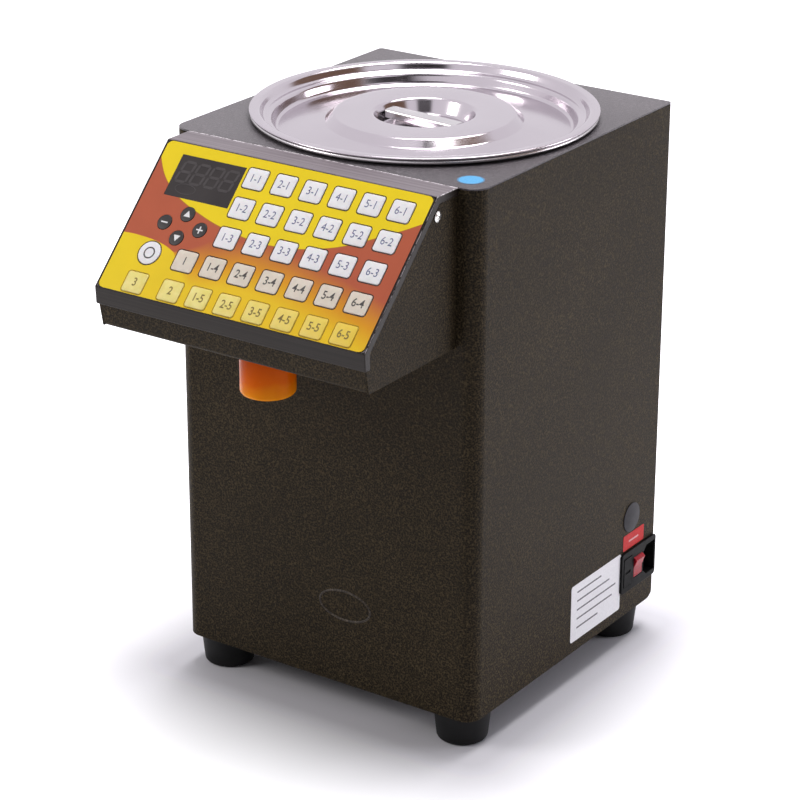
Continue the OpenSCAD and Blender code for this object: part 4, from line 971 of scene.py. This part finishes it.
# ---------------------------------------------------------------------------------------------
# Bar handle of the lid
# A short channel of the same steel, bent down along both sides and spot-welded over the dimple,
# so that fingers reach under it from either side.
handle_w = 0.012
handle_h = 0.006
handle_l = 0.062
handle_top = -0.0006
handle_bend_r = 0.0024
handle_ease = 0.00018
handle_turn = math.radians(-5)
handle_steel = spun_steel("handle_steel", (0.66, 0.64, 0.65), 0.16, 0.26, 1100.0, 0.00002)
half_channel = handle_w / 2
channel_path = [
    (half_channel, -handle_h), (half_channel, 0), (-half_channel, 0), (-half_channel, -handle_h)]
channel = thickened(filleted(channel_path, handle_bend_r, 8), lid_t)
handle_mesh = bmesh.new()
near_end, far_end = [
    [handle_mesh.verts.new((end * handle_l / 2, p.x, p.y)) for p in channel] for end in (-1, 1)]
skin(handle_mesh, near_end, far_end)
handle_mesh.faces.new(near_end)
handle_mesh.faces.new(list(reversed(far_end)))
cut_edges = []
for edge in handle_mesh.edges:
    if len(edge.link_faces) == 2 and edge.calc_face_angle(0) > math.radians(50):
        cut_edges.append(edge)
bmesh.ops.bevel(
    handle_mesh, geom=cut_edges, offset=handle_ease, segments=2, profile=0.5, affect="EDGES",
    clamp_overlap=False)
handle_place = Matrix.Translation((0, bucket_y, casing_top + handle_top))
handle_mesh.transform(handle_place @ Matrix.Rotation(handle_turn, 4, "Z"))
handle = piece_from(handle_mesh, "bar_handle", [handle_steel], "lid")
shade_smooth(handle, 30)
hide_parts("lid_handle")


# ---------------------------------------------------------------------------------------------
# Syrup bucket
# Deep-drawn stainless steel with a rounded floor and a rolled bead, brushed round and round
# inside. It hangs by its rim on a rubber ring in the top plate.
bucket_r = 0.115
bucket_wall = 0.0008
ring_t = 0.0012
rim_z = 0.0020
bead_r = 0.0015
bead_centre = 0.1211
bead_sweep = 297.8
bead_steps = 14
bucket_bottom = -0.200
outlet_r = 0.0051
floor_turn = 0.014
bucket_steel = spun_steel("bucket_steel", (0.62, 0.60, 0.61), 0.24, 0.28, 2600.0, 0.00003)
inner_r = bucket_r - bucket_wall
inner_bottom = bucket_bottom + bucket_wall
outer_path = [
    (outlet_r, bucket_bottom), (bucket_r, bucket_bottom), (bucket_r, ring_t), (bead_centre - 0.001, ring_t)]
inner_path = [
    (bead_centre - bead_r, rim_z), (inner_r, rim_z), (inner_r, inner_bottom), (outlet_r, inner_bottom)]
outer_wall = filleted(outer_path, floor_turn, 14)
inner_wall = filleted(inner_path, floor_turn - bucket_wall, 14)
bead_arc = []
for k in range(bead_steps + 1):
    turn = math.radians(-90 + bead_sweep * k / bead_steps)
    bead_arc.append((bead_centre + bead_r * math.cos(turn), ring_t + bead_r + bead_r * math.sin(turn)))
# up outside, round the bead and down inside; the first inner point lies inside the bead
bucket_mesh = lathe(outer_wall + bead_arc + inner_wall[1:], bucket_axis)
bucket = piece_from(bucket_mesh, "drawn_bucket", [bucket_steel], "casing")
shade_smooth(bucket, 40)
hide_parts("syrup_bucket")


# ---------------------------------------------------------------------------------------------
# Rubber ring under the bucket's rim
# A ring moulded in black rubber, with a skirt that lines the hole in the top plate. It is pinched
# between the bucket's rim and the plate, and keeps spilt syrup out of the casing.
def rubber(name, dark, pale, rough):
    """Moulded black rubber with a dusty bloom."""
    return clouded(
        name, dark, pale, grain=900.0, relief=0.00008, gloss=(rough, rough + 0.15), clouds=60.0,
        detail=4.0, spread=(0.35, 0.70), Specular_IOR_Level=0.2)


seal_rubber = rubber("seal_rubber", grey(0.010), grey(0.022), 0.45)
# its section from the skirt's foot outwards, as (radius, height over the top plate)
ring_section = (
    (0.1153, -0.0032), (0.1164, -0.0032), (0.11695, -0.0028), (0.11695, 0.0), (0.1197, 0.0),
    (0.1200, 0.0003), (0.1200, 0.0009), (0.1197, ring_t), (0.1153, ring_t))
ring_mesh = lathe(ring_section, bucket_axis)
ring = piece_from(ring_mesh, "rim_ring", [seal_rubber], "casing")
shade_smooth(ring)
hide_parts("bucket_gasket")


# ---------------------------------------------------------------------------------------------
# Nozzle cup
# A thick cup moulded in translucent orange plastic, its lower edge well rounded, that hides the
# spout. Its colour is painted paler towards its rim and deeper towards its roof, as a painted glow
# of light that comes up through its mouth.
nozzle_low, nozzle_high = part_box("nozzle_cover")
nozzle_middle = (nozzle_low + nozzle_high) / 2
cup_r = (nozzle_high.x - nozzle_low.x) / 2
cup_h = nozzle_high.z - nozzle_low.z
cup_wall = 0.0025
cup_edge_r = 0.0065
cup_mouth_r = 0.0125
cup_top_ease = 0.0004
cup_inner_edge_r = 0.002
roof_t = 0.003
tail_hole_r = 0.00505
amber_painted_glow = (0.96, 0.32, 0.006)
amber_side = (0.78, 0.135, 0.001)
amber_painted_shade = (0.58, 0.065, 0.0005)
cup_plastic, tree, shader = finish(
    "cup_plastic", Subsurface_Weight=0.08, Subsurface_Scale=0.002, Specular_IOR_Level=0.05)
place = object_place(tree)
up_cup = scaled(tree, add(tree, "SeparateXYZ", {0: place}).outputs["Z"], nozzle_low.z, nozzle_high.z)
swirl_noise = noise(tree, place, 55.0, 3.0)
# colour by height, clouded by noise: painted glow low down, painted shade at the top
painted_glow_by_height = maths(tree, "MULTIPLY_ADD", swirl_noise, 0.35, maths(tree, "SUBTRACT", up_cup, 0.17))
coloured(tree, shader, ramp(tree, painted_glow_by_height, (0.0, amber_painted_glow), (0.35, amber_side), (0.9, amber_painted_shade)))
tree.links.new(scaled(tree, noise(tree, place, 90.0), 0.3, 0.7, 0.18, 0.28), shader.inputs["Roughness"])
bump(tree, shader, noise(tree, place, 500.0), 0.00004, 0.4)
# over the roof, down outside, round the mouth's lip and up inside
over_roof = [Vector((tail_hole_r, 0)), Vector((cup_r - cup_top_ease, 0))]
outer_cup = filleted([(cup_r, -cup_top_ease), (cup_r, -cup_h), (cup_mouth_r, -cup_h)], cup_edge_r, 10)
inner_r = cup_r - cup_wall
inner_path = [
    (cup_mouth_r, cup_wall - cup_h), (inner_r, cup_wall - cup_h), (inner_r, -roof_t), (tail_hole_r, -roof_t)]
inner_cup = filleted(inner_path, cup_inner_edge_r, 6)
cup_top = (nozzle_middle.x, nozzle_middle.y, nozzle_high.z)
cup_mesh = lathe(over_roof + outer_cup + inner_cup, cup_top, 96)
cup = piece_from(cup_mesh, "orange_cup", [cup_plastic], "casing")
shade_smooth(cup, 40)
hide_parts("nozzle_cover")


# ---------------------------------------------------------------------------------------------
# Spout tube, outlet fitting and their lock nuts
# Turned fittings: a steel tube with a collar that the cup clips over, and a brass tail under the
# bucket, each drawn tight by a brass hexagon nut.
spout_ease = 0.0003


def machined_metal(name, base, low, high, mark_scale=1400.0):
    """Turned or milled metal: fine tool marks, and a little dulled in patches."""
    made, tree, shader = finish(name, Metallic=1.0)
    place = object_place(tree)
    dulled = noise(tree, place, 40.0, 4.0)
    tree.links.new(scaled(tree, dulled, 0.3, 0.7, low, high), shader.inputs["Roughness"])
    coloured(tree, shader, ramp(tree, dulled, (0.3, tuple(0.84 * c for c in base)), (0.7, base)))
    bump(tree, shader, noise(tree, place, mark_scale, 2.0), 0.00002, 0.4)
    return made


def dress(material, *nodes):
    """Gives CAD nodes their material."""
    for node in nodes:
        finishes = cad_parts[node].data.materials
        finishes.clear()
        finishes.append(material)


shaft_steel = machined_metal("shaft_steel", (0.56, 0.55, 0.55), 0.20, 0.30)
fitting_brass = machined_metal("fitting_brass", (0.62, 0.43, 0.17), 0.24, 0.36)
eased("nozzle_spout", "spout_tube", shaft_steel, "casing", spout_ease)
dress(fitting_brass, "outlet_fitting", "lock_nuts")


# ---------------------------------------------------------------------------------------------
# Rubber feet
# Four moulded rubber feet, a little narrower at the floor, each with a sunk hole for its screw
# and a rounded lower edge.
foot_rubber = rubber("foot_rubber", grey(0.0045), grey(0.011), 0.50)
foot_h = 0.024
foot_top_r = 0.0206
foot_bottom_r = 0.0181
recess_r = 0.007
recess_h = 0.017
foot_screw_r = 0.0021
foot_edge_r = 0.003
foot_xs = (-0.1039, 0.1039)
foot_ys = (-0.05193, 0.15177)
foot_path = [(recess_r, 0), (foot_bottom_r, 0), (foot_top_r, foot_h), (foot_screw_r, foot_h)]
foot_outline = filleted(foot_path, foot_edge_r, 8) + [(foot_screw_r, recess_h), (recess_r, recess_h)]
feet = bmesh.new()
for x in foot_xs:
    for y in foot_ys:
        turned = lathe(foot_outline, (x, y, 0), 64)
        one_foot = bpy.data.meshes.new("foot")
        turned.to_mesh(one_foot)
        turned.free()
        feet.from_mesh(one_foot)
        bpy.data.meshes.remove(one_foot)
feet = piece_from(feet, "moulded_feet", [foot_rubber], "casing")
shade_smooth(feet)
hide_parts("rubber_feet")


# ---------------------------------------------------------------------------------------------
# Power inlet, rocker and fuse drawer
# A black moulded inlet clipped into the right side: the socket with its three plated blades, a
# red on-off rocker that tilts between two plain marks, and a fuse drawer with a thumb notch.
inlet_ease = 0.0004
fine_ease = 0.00025
inlet_black = clouded(
    "inlet_black", grey(0.006), grey(0.012), grain=1300.0, relief=0.00010, gloss=(0.34, 0.48),
    clouds=300.0, spread=(0.35, 0.65), Specular_IOR_Level=0.05)
eased("power_inlet", "moulded_inlet", inlet_black, "casing", inlet_ease)
eased("fuse_drawer", "fuse_drawer_moulded", inlet_black, "fuse_drawer", fine_ease)
blade_plate = machined_metal("blade_plate", (0.62, 0.58, 0.50), 0.16, 0.26)
eased("inlet_pins", "plated_blades", blade_plate, "casing", fine_ease)
rocker_red = clouded(
    "rocker_red", (0.30, 0.009, 0.018), (0.42, 0.014, 0.026), grain=1500.0, relief=0.00003,
    gloss=(0.20, 0.30), clouds=90.0, Subsurface_Weight=0.1, Subsurface_Scale=0.002,
    Specular_IOR_Level=0.2)
eased("rocker_switch", "red_rocker", rocker_red, "rocker", inlet_ease)


# ---------------------------------------------------------------------------------------------
# Hole plug
# A low dome moulded in grey-black plastic. It is pushed into a round hole in the right side,
# over the inlet, and closes it.
plug_ease = 0.0003
plug_plastic = clouded(
    "plug_plastic", (0.015, 0.014, 0.018), (0.023, 0.021, 0.026), grain=1100.0, relief=0.00006,
    gloss=(0.42, 0.55), clouds=250.0, spread=(0.35, 0.65), Specular_IOR_Level=0.2)
eased("hole_plug", "domed_plug", plug_plastic, "casing", plug_ease)


# ---------------------------------------------------------------------------------------------
# Screws
# Zinc-plated pan-head screws with a cross recess, in the rear cover, the head, the feet and
# the parts on the base plate.
zinc, tree, shader = finish("zinc_plate", Metallic=1.0)
place = object_place(tree)
cloud = noise(tree, place, 400.0, 4.0)
coloured(tree, shader, ramp(tree, cloud, (0.3, (0.50, 0.50, 0.48)), (0.7, (0.74, 0.73, 0.72))))
tree.links.new(scaled(tree, cloud, 0.3, 0.7, 0.20, 0.32), shader.inputs["Roughness"])
bump(tree, shader, noise(tree, place, 1500.0), 0.00003, 0.4)
dress(zinc, "casing_screws")


# ---------------------------------------------------------------------------------------------
# Stickers
# A small blue inspection dot on the top plate, and two vinyl labels beside the inlet: a plain
# red one, and a white one ruled with bare grey lines.
side_x = 0.1265
sticker_t = 0.00015
ink_top = sticker_t + 0.00003
dot_x = 0.1087
dot_y = -0.0571
dot_r = 0.0092
dot_rim_inner_r = dot_r - 0.0011
dot_face_r = dot_r - 0.00112
rule_left = 0.06445
rule_top = 0.0705
rule_pitch = 0.0072
rule_w = 0.0013
rule_lengths = (0.034, 0.046, 0.055, 0.050, 0.030)
dot_blue = print_ink("dot_blue", (0.075, 0.33, 0.60), (0.105, 0.38, 0.68))
dot_rim = print_ink("dot_rim", (0.075, 0.17, 0.30), (0.11, 0.22, 0.36))
label_white = print_ink("label_white", (0.86, 0.85, 0.86), (0.92, 0.91, 0.92))
label_rule = print_ink("label_rule", (0.11, 0.105, 0.12), (0.22, 0.21, 0.23))
label_red = print_ink("label_red", (0.50, 0.014, 0.014), (0.62, 0.022, 0.021))
label_pale = print_ink("label_pale", (0.66, 0.34, 0.34), (0.76, 0.44, 0.44))


def sticker(name, mesh, place, materials):
    """A sticker drawn flat and laid on a panel."""
    mesh.transform(place)
    return piece_from(mesh, name, materials, "casing")


on_top = Matrix.Translation((dot_x, dot_y, casing_top))
dot = bmesh.new()
flat_slab(dot, circle_points(0, 0, dot_face_r), 0, sticker_t)
ring_slab(dot, circle_points(0, 0, dot_r), circle_points(0, 0, dot_rim_inner_r), 0, sticker_t, 1)
sticker("blue_dot", dot, on_top, [dot_blue, dot_rim])

# the labels are drawn with the depth along the casing across and the height up
on_side = Matrix(((0, 0, 1, side_x), (1, 0, 0, 0), (0, 1, 0, 0), (0, 0, 0, 1)))
white_label = bmesh.new()
flat_slab(white_label, rounded_rectangle(0.09145, 0.05525, 0.0705, 0.0455, 0.002), 0, sticker_t)
for i, length in enumerate(rule_lengths):
    rule_y = rule_top - rule_pitch * i
    rule = oblong(rule_left, rule_y, rule_left + length, rule_y + rule_w)
    flat_slab(white_label, rule, sticker_t, ink_top, 1)
sticker("white_label", white_label, on_side, [label_white, label_rule])
red_label = bmesh.new()
flat_slab(red_label, rounded_rectangle(0.1445, 0.0842, 0.030, 0.0125, 0.0012), 0, sticker_t)
flat_slab(red_label, oblong(0.1375, 0.0834, 0.1515, 0.0848), sticker_t, ink_top, 1)
sticker("red_label", red_label, on_side, [label_red, label_pale])


# ---------------------------------------------------------------------------------------------
# Plain oval on the front
# A thin raised oval bead pressed into the front panel before painting, left empty. Hands and
# cloths have rubbed its crest a little paler.
front_y = -0.07483
oval_x = 0.0186
oval_z = 0.0863
oval_steps = 64
bead_h = 0.0006
# across the bead from its outer foot to its inner foot, as (half width, half height, lift)
bead_levels = ((0.0226, 0.0121, 0), (0.0220, 0.0115, bead_h), (0.0214, 0.0109, bead_h), (0.0208, 0.0103, 0))
on_front = Matrix(((1, 0, 0, 0), (0, 0, -1, front_y), (0, 1, 0, 0), (0, 0, 0, 1)))
oval = bmesh.new()
oval_loops = []
for half_across, half_up, lift in bead_levels:
    outline = oval_points(oval_x, oval_z, half_across, half_up, oval_steps)
    oval_loops.append([oval.verts.new((x, y, lift)) for x, y in outline])
for a, b in zip(oval_loops, oval_loops[1:] + oval_loops[:1]):
    skin(oval, a, b)
oval.transform(on_front)
rubbed_dark = (0.022, 0.017, 0.013)
rubbed_gold = (0.150, 0.120, 0.090)
rubbed_enamel = hammered_enamel("rubbed_enamel", rubbed_dark, rubbed_gold, 0.36, 0.2, fleck_stops)
oval_bead = piece_from(oval, "oval_bead", [rubbed_enamel], "casing")
shade_smooth(oval_bead, 60)


# ---------------------------------------------------------------------------------------------
# Digit module and control board
# A matt black module behind the window, and a green solder-masked board whose switches stand
# under the keys.
module_black = clouded(
    "module_black", grey(0.010), grey(0.018), grain=1200.0, relief=0.00005, gloss=(0.5, 0.65),
    clouds=200.0, spread=(0.35, 0.65), Specular_IOR_Level=0.3)
dress(module_black, "display_module")
board_green, tree, shader = finish("board_green", Coat_Weight=0.4, Coat_Roughness=0.2)
place = fine_grain(tree, shader, 900.0, 0.00004, 0.35, 0.5)
weave = add(tree, "TexBrick", {"Vector": place, "Scale": 260.0}, offset=0.5).outputs["Fac"]
mask = ramp(tree, noise(tree, place, 120.0, 4.0), (0.3, (0.010, 0.070, 0.026)), (0.7, (0.016, 0.105, 0.040)))
coloured(tree, shader, blended(tree, maths(tree, "MULTIPLY", weave, 0.35), mask, (0.006, 0.045, 0.016)))
dress(board_green, "control_board")


# ---------------------------------------------------------------------------------------------
# Hoses and their clamps
# Milky food hose from the bucket to the pump and from the pump up to the spout, pushed over the
# tails and held by zinc-plated clamps. Its bends are the routes of the solids.
hose_r = 0.00715
hose_bore_r = 0.00505
hose_bend = 0.022
hose_sides = 32


def rounded_route(corners, radius, steps=10):
    """A route of straight runs joined by arcs of the radius."""
    made = [Vector(corners[0])]
    for before, corner, after in zip(corners, corners[1:], corners[2:]):
        p = Vector(corner)
        u, v = (p - Vector(before)).normalized(), (Vector(after) - p).normalized()
        bend = u.angle(v)
        inward = (v - u * u.dot(v)).normalized()
        centre = p - u * radius * math.tan(bend / 2) + inward * radius
        for k in range(steps + 1):
            part = bend * k / steps
            made.append(centre + radius * (u * math.sin(part) - inward * math.cos(part)))
    made.append(Vector(corners[-1]))
    return made


def tube_mesh(route, outer, bore, sides):
    """A hollow tube along a route, whose rings are square to it and turn with it."""
    mesh = bmesh.new()
    turns = [math.tau * k / sides for k in range(sides)]
    square = Vector((0.1, 0.2, 1))
    loops = []
    for i, p in enumerate(route):
        ahead = (route[min(i + 1, len(route) - 1)] - route[max(i - 1, 0)]).normalized()
        square = (square - ahead * square.dot(ahead)).normalized()
        across = ahead.cross(square)
        spokes = [square * math.cos(a) + across * math.sin(a) for a in turns]
        loops.append([[mesh.verts.new(p + r * spoke) for spoke in spokes] for r in (outer, bore)])
    for k in range(sides):
        n = (k + 1) % sides
        for a, b in zip(loops, loops[1:]):
            mesh.faces.new((a[0][k], b[0][k], b[0][n], a[0][n]))
            mesh.faces.new((a[1][k], a[1][n], b[1][n], b[1][k]))
        for rims in (loops[0], loops[-1]):
            mesh.faces.new((rims[0][k], rims[0][n], rims[1][n], rims[1][k]))
    return mesh


hose_milky = clouded(
    "hose_milky", (0.60, 0.59, 0.53), (0.72, 0.71, 0.66), grain=700.0, relief=0.00004,
    gloss=(0.28, 0.40), clouds=35.0, Transmission_Weight=0.25, Subsurface_Weight=0.3,
    Subsurface_Scale=0.003)
suction_route = (
    (-0.004, -0.01273, 0.07903), (0.040, -0.01273, 0.07903), (0.040, 0.04967, 0.10903), (0, 0.04967, 0.154),
    (0, 0.04967, 0.206))
delivery_route = (
    (-0.056, -0.01273, 0.07903), (-0.0985, -0.01273, 0.07903), (-0.0985, -0.05483, 0.11903),
    (-0.0985, -0.05483, 0.34939), (0, -0.13583, 0.34939), (0, -0.13583, 0.31139))
hoses = (
    ("milky_suction_hose", suction_route, "suction_hose"),
    ("milky_delivery_hose", delivery_route, "delivery_hose"))
for name, route, node in hoses:
    hose = tube_mesh(rounded_route(route, hose_bend), hose_r, hose_bore_r, hose_sides)
    hose = piece_from(hose, name, [hose_milky], "casing")
    shade_smooth(hose, 50)
    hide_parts(node)
dress(zinc, "hose_clamps")


# ---------------------------------------------------------------------------------------------
# Gear pump, its motor and bracket
# A milled aluminium block and cover with two brass gears on ground shafts, driven by a grey
# enamelled motor that stands on a folded steel bracket.
pump_aluminium = machined_metal("pump_aluminium", (0.58, 0.59, 0.60), 0.28, 0.42, 900.0)
dress(pump_aluminium, "pump_body", "pump_cover")
dress(fitting_brass, "drive_gear", "driven_gear")
dress(shaft_steel, "drive_shaft", "idler_pin")
motor_grey = clouded(
    "motor_grey", (0.13, 0.135, 0.145), (0.18, 0.185, 0.195), grain=600.0, relief=0.00012,
    gloss=(0.35, 0.5), clouds=50.0, detail=4.0, Coat_Weight=0.2, Coat_Roughness=0.3)
dress(motor_grey, "pump_motor")
folded_sheet = machined_metal("folded_sheet", (0.52, 0.53, 0.53), 0.30, 0.45, 500.0)
dress(folded_sheet, "motor_bracket")


# ---------------------------------------------------------------------------------------------
# Power supply
# A closed box of the same plain folded sheet as the motor's bracket, pierced for air. It is
# screwed down on the base plate.
dress(folded_sheet, "power_supply")
